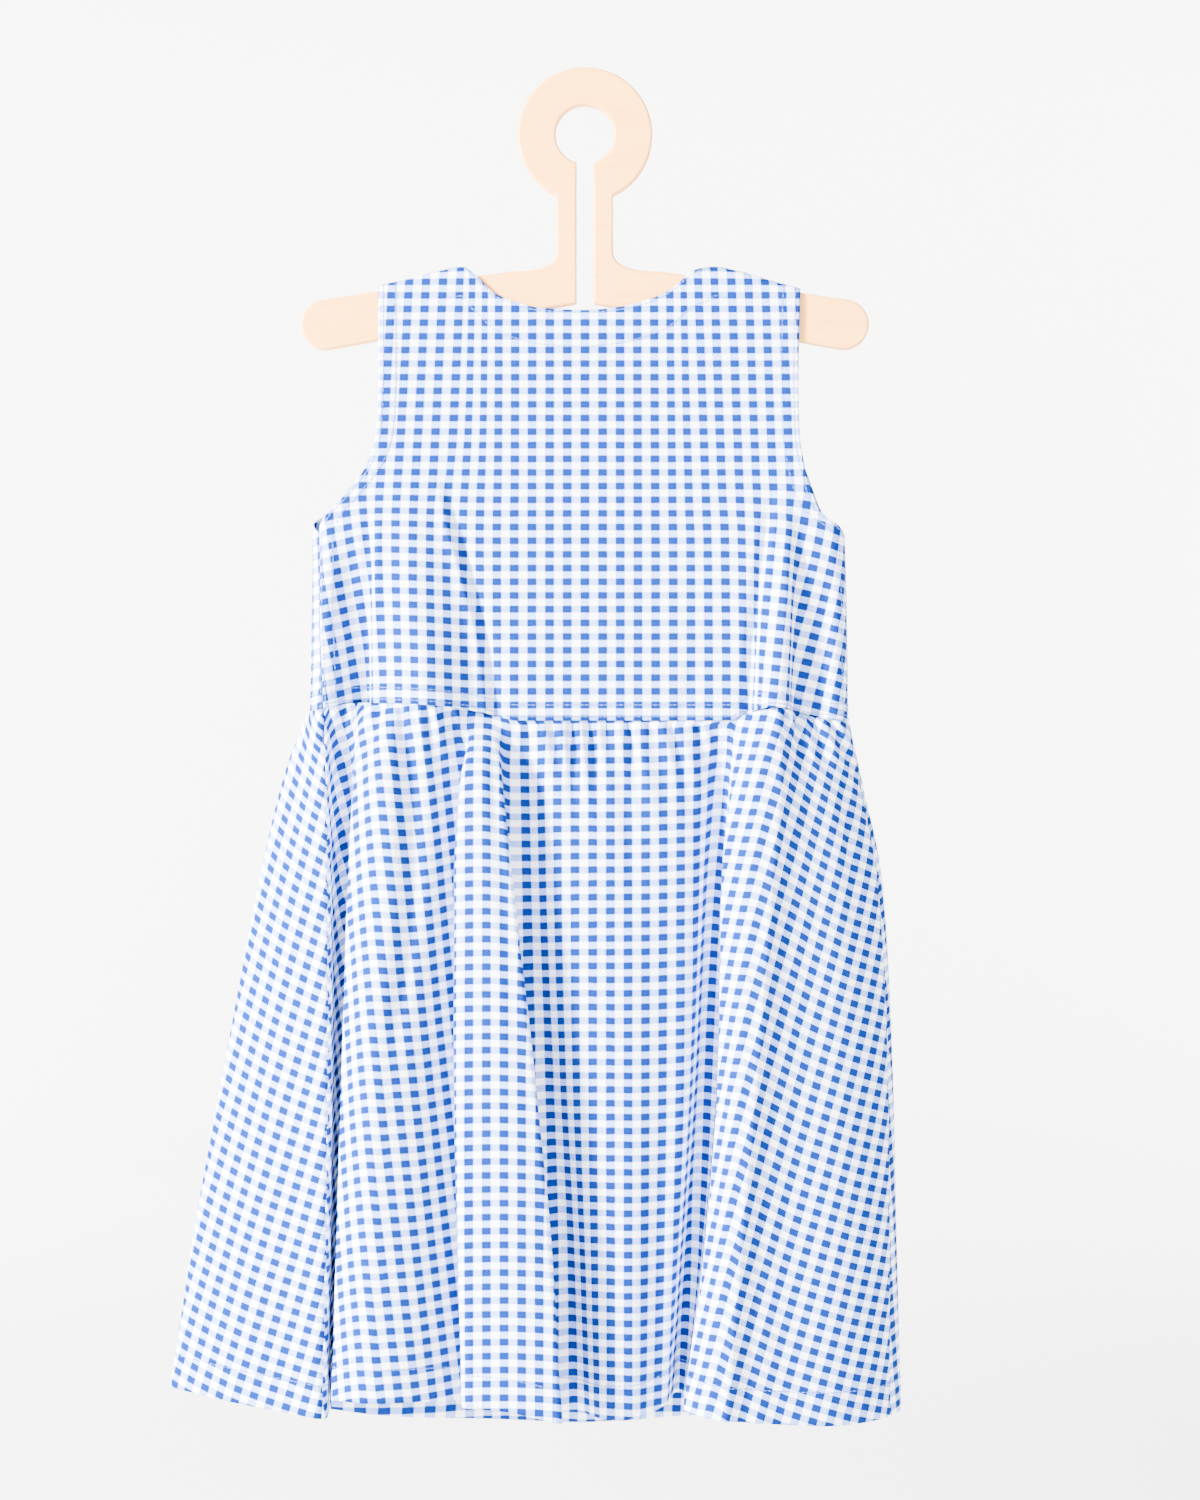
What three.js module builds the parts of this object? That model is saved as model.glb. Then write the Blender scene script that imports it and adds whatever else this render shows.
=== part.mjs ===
// A child's sleeveless gingham sundress on a flat plywood hanger with a ring and a slot.
// Millimetres, +Z up, the viewer on the -Y side. The origin is the top of the ring's hole.

import * as THREE from "three";
import { mergeVertices } from "three/addons/utils/BufferGeometryUtils.js";

// Cloth and seams

const CLOTH = 1.2; // wall of every cloth piece
const SEAM_GAP = 0.3; // between two pieces that are sewn together
const HALF_GAP = SEAM_GAP / 2;
const HALF_WAIST_GAP = 0.22; // the waist seam is curved, so its facets need a little more
const HALF_SIDE_GAP = 0.28; // the skirt's side seams lie on sharp folds, narrower on the inside

// Hanger: one plate, sawn and rounded over

const PLATE = 8;
const PLATE_EDGE = 1.2; // radius of the sanded edge
const RING_OUTER = 39;
const RING_HOLE = 17;
const SLOT_HALF = 4.8;
const NECK_HALF = 16.3;
const NECK_FOOT = -90.5; // where the neck's sides meet the fillets
const FILLET = 6;
const ARM_FOOT_X = 43.5;
const ARM_FOOT_Z = -96.3; // top edge of an arm beside the neck
const SLOT_END = -115; // the slot runs out of the bottom edge
const ARM_END_X = 150;
const ARM_END_Z = -127;
const ARM_END_RADIUS = 14.5;
const ARM_TOP_TILT = 0.1; // the arms fall away from the neck
const ARM_BOTTOM_TILT = 0.16;

// Bodice: a flattened tube with rounded sides, hung over the arms

const SHOULDER_ROUND = 5.9; // outer radius where the cloth goes over the arms
const SHOULDERS = [
  { x: -130, z: -106 },
  { x: -119.5, z: -104 },
  { x: -70, z: -93 },
  { x: 0, z: -90 },
  { x: 75, z: -93 },
  { x: 124.7, z: -105.6 },
  { x: 135, z: -108 },
];
const NECK_LEFT = -70;
const NECK_RIGHT = 74;
const BACK_NECK = [
  { x: -70, z: -93 },
  { x: -61, z: -101 },
  { x: -52.8, z: -109 },
  { x: -42, z: -113.7 },
  { x: -25.5, z: -117.8 },
  { x: 0, z: -119 },
  { x: 20, z: -117.2 },
  { x: 36, z: -113.2 },
  { x: 49.3, z: -107.3 },
  { x: 64, z: -95.5 },
  { x: 74, z: -93 },
];
const FRONT_NECK = [
  { x: -70, z: -93 },
  { x: -61, z: -107 },
  { x: -55, z: -130 },
  { x: -47, z: -165 },
  { x: -30, z: -194 },
  { x: 2, z: -208 },
  { x: 34, z: -194 },
  { x: 51, z: -165 },
  { x: 59, z: -130 },
  { x: 65, z: -107 },
  { x: 74, z: -93 },
];
const UNDERARM = 0.41; // share of the panel's height at the underarm
const ARMHOLE_CURVE = 0.2; // share of the height that the armhole's curved foot takes
const ARMHOLE_LEFT = [
  { z: -249.7, x: -153.5 },
  { z: -241, x: -149 },
  { z: -228, x: -138.5 },
  { z: -213, x: -127 },
  { z: -203, x: -123 },
  { z: -190, x: -120.6 },
  { z: -165, x: -119.5 },
  { z: -104, x: -119.5 },
];
const ARMHOLE_RIGHT = [
  { z: -254, x: 151 },
  { z: -247, x: 144 },
  { z: -238, x: 136.3 },
  { z: -228, x: 131.5 },
  { z: -212, x: 127 },
  { z: -191, x: 124 },
  { z: -165, x: 123.5 },
  { z: -105, x: 124.7 },
];
// The side seams' angles round the rounded sides, from the flat of the back, in radians
const LEFT_SEAM = { waist: 0.15, underarm: 0.6 };
const RIGHT_SEAM = { waist: 1.44, underarm: 1.44 };
const BODY_SIZES = [
  { z: -85, centre: -3.5, half: 154, depth: 5.9 },
  { z: -140, centre: -3.5, half: 154, depth: 5.9 },
  { z: -200, centre: -3.5, half: 154, depth: 8.5 },
  { z: -250, centre: -3.5, half: 154.5, depth: 10.5 },
  { z: -300, centre: -3.5, half: 155.5, depth: 11 },
  { z: -365, centre: -3.5, half: 156.5, depth: 11 },
];
const WAIST_LEVEL = -356.7; // the waist seam in the middle
const BACK_WAIST = [
  { x: -175, z: -352 },
  { x: -160, z: -351 },
  { x: -126, z: -346.5 },
  { x: -89, z: -348 },
  { x: -70, z: -350 },
  { x: -56, z: -353 },
  { x: -38, z: -356.7 },
  { x: 82, z: -356.7 },
  { x: 95, z: -352.4 },
  { x: 107, z: -349 },
  { x: 118, z: -350.5 },
  { x: 130, z: -354.5 },
  { x: 151, z: -356 },
  { x: 175, z: -356 },
];
const FRONT_WAIST = [
  { x: -175, z: -352 },
  { x: -160, z: -351 },
  { x: -70, z: -355 },
  { x: 60, z: -357 },
  { x: 151, z: -356 },
  { x: 175, z: -356 },
];

// Each ridge (rise above 0) or groove (below 0) runs down a panel to the waist

const BACK_FOLDS = [
  { name: "left tube", top: -185, xTop: -108, xWaist: -90, width: 21, rise: 12 },
  { name: "left valley", top: -235, xTop: -128, xWaist: -126, width: 9, rise: -4.5 },
  { name: "left drag fold", top: -215, xTop: -80, xWaist: -54, width: 7, rise: -3 },
  { name: "right fold edge", top: -215, xTop: 109, xWaist: 94, width: 6, rise: -3.5 },
  { name: "right strip", top: -200, xTop: 122, xWaist: 107, width: 13, rise: 9 },
  { name: "right hollow", top: -250, xTop: 136, xWaist: 130, width: 8, rise: -2.5 },
];
const FRONT_FOLDS = [
  { name: "left roll", top: -205, xTop: -112, xWaist: -98, width: 24, rise: 6 },
  { name: "middle hollow", top: -250, xTop: -12, xWaist: -24, width: 30, rise: -3 },
  { name: "right roll", top: -215, xTop: 114, xWaist: 96, width: 22, rise: 6 },
  { name: "right crease", top: -240, xTop: 76, xWaist: 66, width: 8, rise: -2 },
];

// Skirt: where each fold line stands at six levels of the drop, how far out towards the viewer it
// is at the five below the waist, where it leaves the bodice, and how high the hem is on it

const SKIRT_LEVELS = [0, 0.1, 0.25, 0.5, 0.75, 1];
const SKIRT_LINES = [
  { line: "left edge", x: [-160, -176, -190, -209, -227, -242], out: [-4, -6, -8, -8, -8], hem: -744 },
  { line: "left outer", x: [-158.5, -165.5, -174, -186, -198, -208], out: [5, 6, 7, 8, 9], hem: -749 },
  { line: "left inner", x: [-155, -156, -158, -163, -168, -174], out: [12, 13, 16, 17, 17], hem: -754 },
  { line: "left seam", x: [-150.6, -148.5, -147.5, -147, -148, -150], out: [13.5, 15, 20, 22, 22], hem: -757 },
  { line: "recess left", x: [-146.5, -145.6, -145, -144.5, -146, -148], out: [8, 6, 8, 8, 8], hem: -756 },
  { line: "recess", x: [-141, -141, -141.5, -141.5, -143, -146], out: [3.5, -1, -3, -2, 0], hem: -754 },
  { line: "recess right", x: [-134, -136, -137.5, -138.5, -140, -143.5], out: [9, 7, 8, 9, 9], hem: -750 },
  { line: "roll edge", x: [-128, -131.5, -135, -138, -141, -144], out: [15.5, 18, 22, 23, 22], hem: -746 },
  { line: "roll crest", x: [-114, -116.5, -119, -122, -124, -127], out: [29, 32, 38, 38, 36], hem: -745 },
  { line: "roll furrow", x: [-102, -100, -97, -107, -112, -114], out: [25.5, 29, 36, 38, 37], hem: -745 },
  { line: "roll back", x: [-89, -87.5, -87, -91, -94, -96], out: [24.5, 26, 30, 33, 33], hem: -745 },
  { line: "tuck inward", x: [-80, -77, -75, -74, -73, -71], out: [17.5, 17, 19, 21, 21], hem: -746 },
  { line: "tuck inside", x: [-70, -67.5, -65, -63, -61, -59], out: [14, 12, 14, 16, 16], hem: -747 },
  { line: "pleat left", x: [-61, -71, -75, -75, -73, -70], out: [25.5, 25, 29, 31, 31], hem: -748 },
  { line: "pleat middle", x: [-55.5, -58.5, -57, -52, -46, -42], out: [31, 32, 36, 38, 38], hem: -750 },
  { line: "pleat right", x: [-52, -48, -41.5, -30, -20, -14], out: [26, 29, 33, 36, 38], hem: -756 },
  { line: "underlay", x: [-46, -46, -44, -38.5, -31, -25], out: [16.5, 17, 18, 20, 22], hem: -754 },
  { line: "pleat valley", x: [-38, -37, -34, -24, -13, -6], out: [9.5, 9, 8, 6, 6], hem: -757 },
  { line: "middle left", x: [-25, -20, -14, -3, 6, 12], out: [15, 16, 18, 18, 18], hem: -758 },
  { line: "middle", x: [8, 11, 16, 22, 26, 28], out: [16.5, 18, 20, 21, 20], hem: -757 },
  { line: "middle right", x: [45, 45.5, 46, 46, 42, 38], out: [14.5, 15, 15, 14, 12], hem: -755 },
  { line: "slope", x: [66, 65.5, 64, 60, 53, 46], out: [7.5, 5, 2, 0, -2], hem: -751 },
  { line: "right valley", x: [77, 76.5, 73, 69, 62, 53], out: [3, 0, -5, -8, -10], hem: -748 },
  { line: "valley wall", x: [83, 81, 78.5, 77, 69, 57.5], out: [8, 8, 6, 5, 4], hem: -748 },
  { line: "ridge left", x: [89, 84.5, 79, 77, 70, 57], out: [17, 19, 20, 21, 20], hem: -751 },
  { line: "ridge crest", x: [100, 96.5, 92, 86, 79, 67], out: [27, 29, 33, 35, 34], hem: -753 },
  { line: "ridge right", x: [114, 112.5, 107, 98.5, 89, 80], out: [27, 29, 34, 37, 37], hem: -755 },
  { line: "right first", x: [127, 128, 127, 120, 113, 108], out: [20, 22, 27, 30, 31], hem: -758 },
  { line: "right second", x: [140, 144, 147, 147, 145, 143], out: [14.5, 17, 22, 25, 26], hem: -760 },
  { line: "right third", x: [149, 156.5, 164, 168, 168, 168], out: [6.5, 8, 12, 15, 15], hem: -759 },
  { line: "right seam", x: [152.9, 161, 171, 176, 177, 177], out: [1.5, 2, 4, 6, 6], hem: -758 },
  { line: "right edge", x: [152.6, 161.6, 173, 178.5, 181, 184], out: [-3.5, -5, -6, -7, -8], hem: -757 },
  { line: "front right", x: [138, 147, 155, 158, 160, 162], out: [-13, -14, -16, -17, -18], hem: -758 },
  { line: "right hollow", x: [100, 104, 110, 112, 112, 112], out: [-13.5, -13, -13, -12, -12], hem: -761 },
  { line: "right fold", x: [52, 54, 58, 60, 60, 60], out: [-15.5, -16, -18, -20, -22], hem: -764 },
  { line: "front middle", x: [2, 2, 2, 4, 6, 8], out: [-12.5, -13, -13, -13, -13], hem: -766 },
  { line: "left fold", x: [-50, -51, -52, -54, -55, -56], out: [-15.5, -16, -19, -21, -22], hem: -766 },
  { line: "left hollow", x: [-98, -101, -105, -110, -114, -118], out: [-13.5, -13, -13, -12, -12], hem: -762 },
  { line: "front left", x: [-137, -143, -150, -160, -172, -182], out: [-14, -15, -17, -20, -21], hem: -755 },
];
const LEFT_SEAM_LINE = 3; // rows of the table above where the two panels are sewn
const RIGHT_SEAM_LINE = 30;

// Gathers: short creases below the waist seam, leaning by so much at their foot

const BACK_GATHERS = [
  { x: -139, length: 26, depth: 1.2, lean: -3 },
  { x: -118, length: 22, depth: 1.4, lean: -3 },
  { x: -106, length: 26, depth: 1.5, lean: 2 },
  { x: -91, length: 34, depth: 1.8, lean: 4 },
  { x: -79, length: 20, depth: 1.2, lean: 2 },
  { x: -34, length: 22, depth: 1.2, lean: 2 },
  { x: -20, length: 30, depth: 1.6, lean: 3 },
  { x: -8, length: 40, depth: 1.9, lean: -2 },
  { x: 2, length: 34, depth: 1.8, lean: 2 },
  { x: 12, length: 18, depth: 1.1, lean: 1 },
  { x: 24, length: 44, depth: 2.0, lean: 6 },
  { x: 37, length: 20, depth: 1.2, lean: 4 },
  { x: 49, length: 36, depth: 1.8, lean: 9 },
  { x: 64, length: 24, depth: 1.3, lean: 5 },
  { x: 116, length: 26, depth: 1.5, lean: -1 },
  { x: 122, length: 30, depth: 1.6, lean: 3 },
  { x: 131, length: 24, depth: 1.5, lean: 6 },
  { x: 142, length: 34, depth: 1.5, lean: 9 },
];
const FRONT_GATHERS = [
  { x: -146, length: 26, depth: 1.3, lean: -7 },
  { x: -128, length: 34, depth: 1.6, lean: -6 },
  { x: -112, length: 22, depth: 1.3, lean: -3 },
  { x: -90, length: 38, depth: 1.8, lean: -4 },
  { x: -74, length: 24, depth: 1.4, lean: 1 },
  { x: -58, length: 32, depth: 1.6, lean: -2 },
  { x: -38, length: 42, depth: 1.9, lean: 0 },
  { x: -24, length: 20, depth: 1.2, lean: 2 },
  { x: -6, length: 36, depth: 1.8, lean: -1 },
  { x: 14, length: 26, depth: 1.4, lean: 2 },
  { x: 30, length: 40, depth: 1.8, lean: 3 },
  { x: 52, length: 22, depth: 1.3, lean: 2 },
  { x: 70, length: 34, depth: 1.7, lean: 4 },
  { x: 88, length: 26, depth: 1.4, lean: 5 },
  { x: 108, length: 38, depth: 1.7, lean: 6 },
  { x: 126, length: 24, depth: 1.4, lean: 8 },
];
const GATHER_WIDTH = 3.6;

// How finely the walls are faceted

const BACK_SPACING = 4.8; // across the skirt's back
const FRONT_SPACING = 8.5;
const BACK_ROWS = 15;
const FRONT_ROWS = 10;
const ROW_CROWDING = 1.35; // above 1 the rows crowd towards the gathers

// Colours

const GINGHAM_BLUE = 0x9db8ea; // the check's average, seen from a step away
const BIRCH = 0xf3dcc0;

// Interpolation

const mix = (a, b, t) => a + (b - a) * t;

// A smooth curve through points: cubic pieces whose slopes never overshoot
function smoothCurve(xs, ys) {
  const last = xs.length - 1;
  const chords = xs.slice(1).map((x, i) => (ys[i + 1] - ys[i]) / (x - xs[i]));
  const slopes = xs.map((_, i) => {
    if (i === 0) return chords[0];
    if (i === last) return chords[last - 1];
    const [before, after] = [chords[i - 1], chords[i]];
    return before * after <= 0 ? 0 : (2 * before * after) / (before + after);
  });
  const direction = Math.sign(xs[last] - xs[0]);
  return (x) => {
    let i = 0;
    while (i < last - 1 && (x - xs[i + 1]) * direction > 0) i += 1;
    const width = xs[i + 1] - xs[i];
    const t = THREE.MathUtils.clamp((x - xs[i]) / width, 0, 1);
    const rest = 1 - t;
    return (
      ys[i] * rest * rest * (1 + 2 * t) +
      ys[i + 1] * t * t * (3 - 2 * t) +
      width * t * rest * (slopes[i] * rest - slopes[i + 1] * t)
    );
  };
}

function smoothTable(rows, from, to) {
  return smoothCurve(
    rows.map((row) => row[from]),
    rows.map((row) => row[to]),
  );
}

const bodyCentre = smoothTable(BODY_SIZES, "z", "centre");
const bodyHalf = smoothTable(BODY_SIZES, "z", "half");
const bodyDepth = smoothTable(BODY_SIZES, "z", "depth");
const shoulderTop = smoothTable(SHOULDERS, "x", "z");

// The panels' two ends, from the side seam's foot up the armhole to the shoulder
const LEFT_END = {
  foot: -160,
  top: -119.5,
  shoulderZ: -104,
  seam: LEFT_SEAM,
  armhole: smoothTable(ARMHOLE_LEFT, "z", "x"),
};
const RIGHT_END = {
  foot: 153,
  top: 124.7,
  shoulderZ: -105.6,
  seam: RIGHT_SEAM,
  armhole: smoothTable(ARMHOLE_RIGHT, "z", "x"),
};

// Walls

// A closed wall between two like grids of points, whose quads are split along the shorter diagonal
function wallGeometry(outer, inner) {
  const rows = outer.length;
  const columns = outer[0].length;
  const points = [outer, inner].flat(2);
  const positions = points.flatMap((point) => point.toArray());
  const at = (layer, r, c) => (layer * rows + r) * columns + c;
  const faces = [];
  const quad = (a, b, c, d) => faces.push(a, b, c, a, c, d);
  for (let r = 0; r + 1 < rows; r += 1) {
    for (let c = 0; c + 1 < columns; c += 1) {
      const rising = outer[r][c].distanceTo(outer[r + 1][c + 1]);
      const falling = outer[r][c + 1].distanceTo(outer[r + 1][c]);
      if (rising <= falling) {
        quad(at(0, r, c), at(0, r, c + 1), at(0, r + 1, c + 1), at(0, r + 1, c));
        quad(at(1, r, c), at(1, r + 1, c), at(1, r + 1, c + 1), at(1, r, c + 1));
      } else {
        quad(at(0, r, c + 1), at(0, r + 1, c + 1), at(0, r + 1, c), at(0, r, c));
        quad(at(1, r, c + 1), at(1, r, c), at(1, r + 1, c), at(1, r + 1, c + 1));
      }
    }
    quad(at(0, r, 0), at(0, r + 1, 0), at(1, r + 1, 0), at(1, r, 0));
    const end = columns - 1;
    quad(at(0, r + 1, end), at(0, r, end), at(1, r, end), at(1, r + 1, end));
  }
  for (let c = 0; c + 1 < columns; c += 1) {
    quad(at(0, 0, c + 1), at(0, 0, c), at(1, 0, c), at(1, 0, c + 1));
    quad(at(0, rows - 1, c), at(0, rows - 1, c + 1), at(1, rows - 1, c + 1), at(1, rows - 1, c));
  }
  const geometry = new THREE.BufferGeometry();
  geometry.setAttribute("position", new THREE.Float32BufferAttribute(positions, 3));
  geometry.setIndex(faces);
  return geometry;
}

// Bodice

// A fold's rise at a place on its panel: a soft bump that grows on the way down to the waist
function foldRise(folds, x, z) {
  let rise = 0;
  for (const fold of folds) {
    const share = THREE.MathUtils.clamp((fold.top - z) / (fold.top - WAIST_LEVEL), 0, 1);
    const away = (x - mix(fold.xTop, fold.xWaist, share)) / fold.width;
    rise += fold.rise * Math.sin((share * Math.PI) / 2) ** 1.5 * Math.exp(-away * away);
  }
  return rise;
}

// A point round the body at a height: around is measured along the cloth from the panel's middle
function bodyPoint(around, z, { side, folds }) {
  const depth = bodyDepth(z);
  const flat = bodyHalf(z) - depth;
  const turn = Math.max(Math.abs(around) - flat, 0) / depth;
  const away = Math.sign(around) * (Math.min(Math.abs(around), flat) + depth * Math.sin(turn));
  const x = bodyCentre(z) + away;
  const rise = foldRise(folds, x, z) * Math.max(Math.cos(turn), 0);
  return { x, out: side * (depth * Math.cos(turn) + rise) };
}

// How far round the body a point of a given x lies, at a height
function aroundAt(x, z) {
  const depth = bodyDepth(z);
  const flat = bodyHalf(z) - depth;
  const away = x - bodyCentre(z);
  const beyond = THREE.MathUtils.clamp((Math.abs(away) - flat) / depth, 0, 1);
  return Math.sign(away) * (Math.min(Math.abs(away), flat) + depth * Math.asin(beyond));
}

// The way down the cloth from the top of the shoulder: over the arm, then straight down
function wayDown(x, z) {
  const drop = shoulderTop(x) - z;
  if (drop >= SHOULDER_ROUND) return drop + SHOULDER_ROUND * (Math.PI / 2 - 1);
  return SHOULDER_ROUND * Math.acos(1 - Math.max(drop, 0) / SHOULDER_ROUND);
}

// The height after such a way, and the share of the body's depth that is reached there
function overShoulder(x, way) {
  const turn = Math.min(way / SHOULDER_ROUND, Math.PI / 2);
  const straight = Math.max(way - (SHOULDER_ROUND * Math.PI) / 2, 0);
  const z = shoulderTop(x) - SHOULDER_ROUND * (1 - Math.cos(turn)) - straight;
  return { z, share: Math.sin(turn) };
}

const BACK = {
  side: 1,
  folds: BACK_FOLDS,
  neck: smoothTable(BACK_NECK, "x", "z"),
  waist: smoothTable(BACK_WAIST, "x", "z"),
  armholeShift: 0,
};
const FRONT = {
  side: -1,
  folds: FRONT_FOLDS,
  neck: smoothTable(FRONT_NECK, "x", "z"),
  waist: smoothTable(FRONT_WAIST, "x", "z"),
  armholeShift: 3,
};

// The panel's edge at a share of its height: the side seam, then the armhole
function edgeAround(end, panel, v) {
  const z = mix(panel.waist(end.foot), shoulderTop(end.top), v);
  const depth = bodyDepth(z);
  const angle = mix(end.seam.waist, end.seam.underarm, Math.min(v / UNDERARM, 1));
  const turn = panel.side > 0 ? angle : Math.PI - angle;
  const seam = Math.sign(end.foot) * (bodyHalf(z) - depth + depth * turn - HALF_GAP);
  const above = THREE.MathUtils.clamp((v - UNDERARM) / ARMHOLE_CURVE, 0, 1);
  const shift = Math.sign(end.foot) * panel.armholeShift * Math.sin(Math.PI * above);
  return mix(seam, aroundAt(end.armhole(z) + shift, z), THREE.MathUtils.smoothstep(above, 0, 0.7));
}

// One bodice panel as a patch: u runs from the left edge to the right, v from waist to shoulder
function bodicePoint(panel, u, v) {
  const around = mix(edgeAround(LEFT_END, panel, v), edgeAround(RIGHT_END, panel, v), u);
  const aroundFoot = mix(edgeAround(LEFT_END, panel, 0), edgeAround(RIGHT_END, panel, 0), u);
  const xFoot = bodyPoint(aroundFoot, WAIST_LEVEL, panel).x;
  const xTop = mix(LEFT_END.top, RIGHT_END.top, u);
  const top = Math.max(wayDown(xTop, panel.neck(xTop)), HALF_GAP);
  const foot = wayDown(xTop, panel.waist(xFoot) + HALF_WAIST_GAP);
  const { z, share } = overShoulder(xTop, mix(foot, top, v));
  const point = bodyPoint(around, z, panel);
  return new THREE.Vector3(point.x, -point.out * share, z);
}

// The direction through the cloth at a place, from outside to inside
function bodiceInward(panel, u, v) {
  const reach = 1e-4;
  const across = bodicePoint(panel, u + reach, v).sub(bodicePoint(panel, u - reach, v));
  const up = bodicePoint(panel, u, v + reach).sub(bodicePoint(panel, u, v - reach));
  return up.cross(across).multiplyScalar(panel.side).normalize();
}

function steps(from, to, count, easing = (t) => t) {
  return Array.from({ length: count }, (_, i) => mix(from, to, easing(i / count)));
}

function bodicePanel(panel, strapColumns, neckColumns) {
  const width = RIGHT_END.top - LEFT_END.top;
  const neckLeft = (NECK_LEFT - LEFT_END.top) / width;
  const neckRight = (NECK_RIGHT - LEFT_END.top) / width;
  const toBothEnds = (t) => mix(t, (1 - Math.cos(Math.PI * t)) / 2, panel.side > 0 ? 0.4 : 0.7);
  const us = [
    ...steps(0, neckLeft, strapColumns),
    ...steps(neckLeft, neckRight, neckColumns, toBothEnds),
    ...steps(neckRight, 1, strapColumns),
    1,
  ];
  const overArm = 1 - (SHOULDER_ROUND * Math.PI) / 2 / (LEFT_END.shoulderZ - WAIST_LEVEL);
  const vs = [
    ...steps(0, UNDERARM, 7),
    ...steps(UNDERARM, UNDERARM + ARMHOLE_CURVE, 7, (t) => t ** 1.15),
    ...steps(UNDERARM + ARMHOLE_CURVE, overArm, 5),
    ...steps(overArm, 1, 4),
    1,
  ];
  const outer = vs.map((v) => us.map((u) => bodicePoint(panel, u, v)));
  const inner = outer.map((row, r) =>
    row.map((point, c) => {
      const inward = bodiceInward(panel, us[c], vs[r]);
      if (r > 0) return point.clone().addScaledVector(inward, CLOTH);
      const foot = point.clone().addScaledVector(inward.setZ(0).normalize(), CLOTH);
      return foot.setZ(panel.waist(foot.x) + HALF_WAIST_GAP);
    }),
  );
  return panel.side > 0 ? wallGeometry(outer, inner) : wallGeometry(inner, outer);
}

// Skirt

// How far out the bodice stands at the waist, so that the skirt starts on its form
function waistOut(x, panel) {
  const z = panel.waist(x);
  return bodyPoint(aroundAt(x, z), z, panel).out;
}

const skirtLines = SKIRT_LINES.map((row, i) => {
  const panel = i >= 1 && i <= RIGHT_SEAM_LINE ? BACK : FRONT;
  const out = [waistOut(row.x[0], panel), ...row.out];
  return { x: smoothCurve(SKIRT_LEVELS, row.x), out: smoothCurve(SKIRT_LEVELS, out), hem: row.hem };
});

// The closed section through every fold line at a share of the drop, with the hem's heights as z
function skirtSection(share) {
  const points = skirtLines.map(({ x, out, hem }) => new THREE.Vector3(x(share), -out(share), hem));
  return new THREE.CatmullRomCurve3(points, true, "centripetal");
}

// A gather's crease at a place along the waist and a drop below it: nothing at the seam itself
function gatherDepth(gathers, x, drop) {
  let depth = 0;
  for (const gather of gathers) {
    const share = drop / gather.length;
    const away = (x - gather.x - gather.lean * share) / (GATHER_WIDTH * (1 + 0.6 * share));
    depth += gather.depth * Math.min(drop / 4, 1) * Math.exp(-share * share - away * away);
  }
  return depth;
}

// Places along the section, a few between each two fold lines
function skirtColumns(firstLine, lastLine, spacing) {
  const middle = skirtSection(0.5);
  const places = [];
  for (let line = firstLine; line < lastLine; line += 1) {
    const length = placeOn(middle, line).distanceTo(placeOn(middle, line + 1));
    places.push(...steps(line, line + 1, Math.max(2, Math.round(length / spacing))));
  }
  return [...places, lastLine];
}

const placeOn = (section, place) => section.getPoint((place / SKIRT_LINES.length) % 1);

// One skirt panel: rows from waist to hem, columns that follow the fold lines
function skirtPanel(panel, columns, rowCount, gathers) {
  const waist = skirtSection(0);
  const outer = [];
  const inner = [];
  for (let r = 0; r <= rowCount; r += 1) {
    const share = (r / rowCount) ** ROW_CROWDING;
    const section = skirtSection(share);
    const outerRow = columns.map((place, c) => {
      const point = placeOn(section, place);
      const waistX = placeOn(waist, place).x;
      const top = panel.waist(waistX) - HALF_WAIST_GAP;
      point.z = mix(top, point.z, share);
      const along = placeOn(section, place + 0.02).sub(placeOn(section, place - 0.02));
      along.setZ(0).normalize();
      if (c === 0) point.addScaledVector(along, HALF_SIDE_GAP);
      if (c === columns.length - 1) point.addScaledVector(along, -HALF_SIDE_GAP);
      const inward = new THREE.Vector3(-along.y, along.x, 0);
      point.addScaledVector(inward, gatherDepth(gathers, waistX, top - point.z));
      return { point, inward };
    });
    outer.push(outerRow.map(({ point }) => point));
    inner.push(
      outerRow.map(({ point, inward }) => {
        const inside = point.clone().addScaledVector(inward, CLOTH);
        return r > 0 ? inside : inside.setZ(panel.waist(inside.x) - HALF_WAIST_GAP);
      }),
    );
  }
  return wallGeometry(inner, outer);
}

// Hanger

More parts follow.
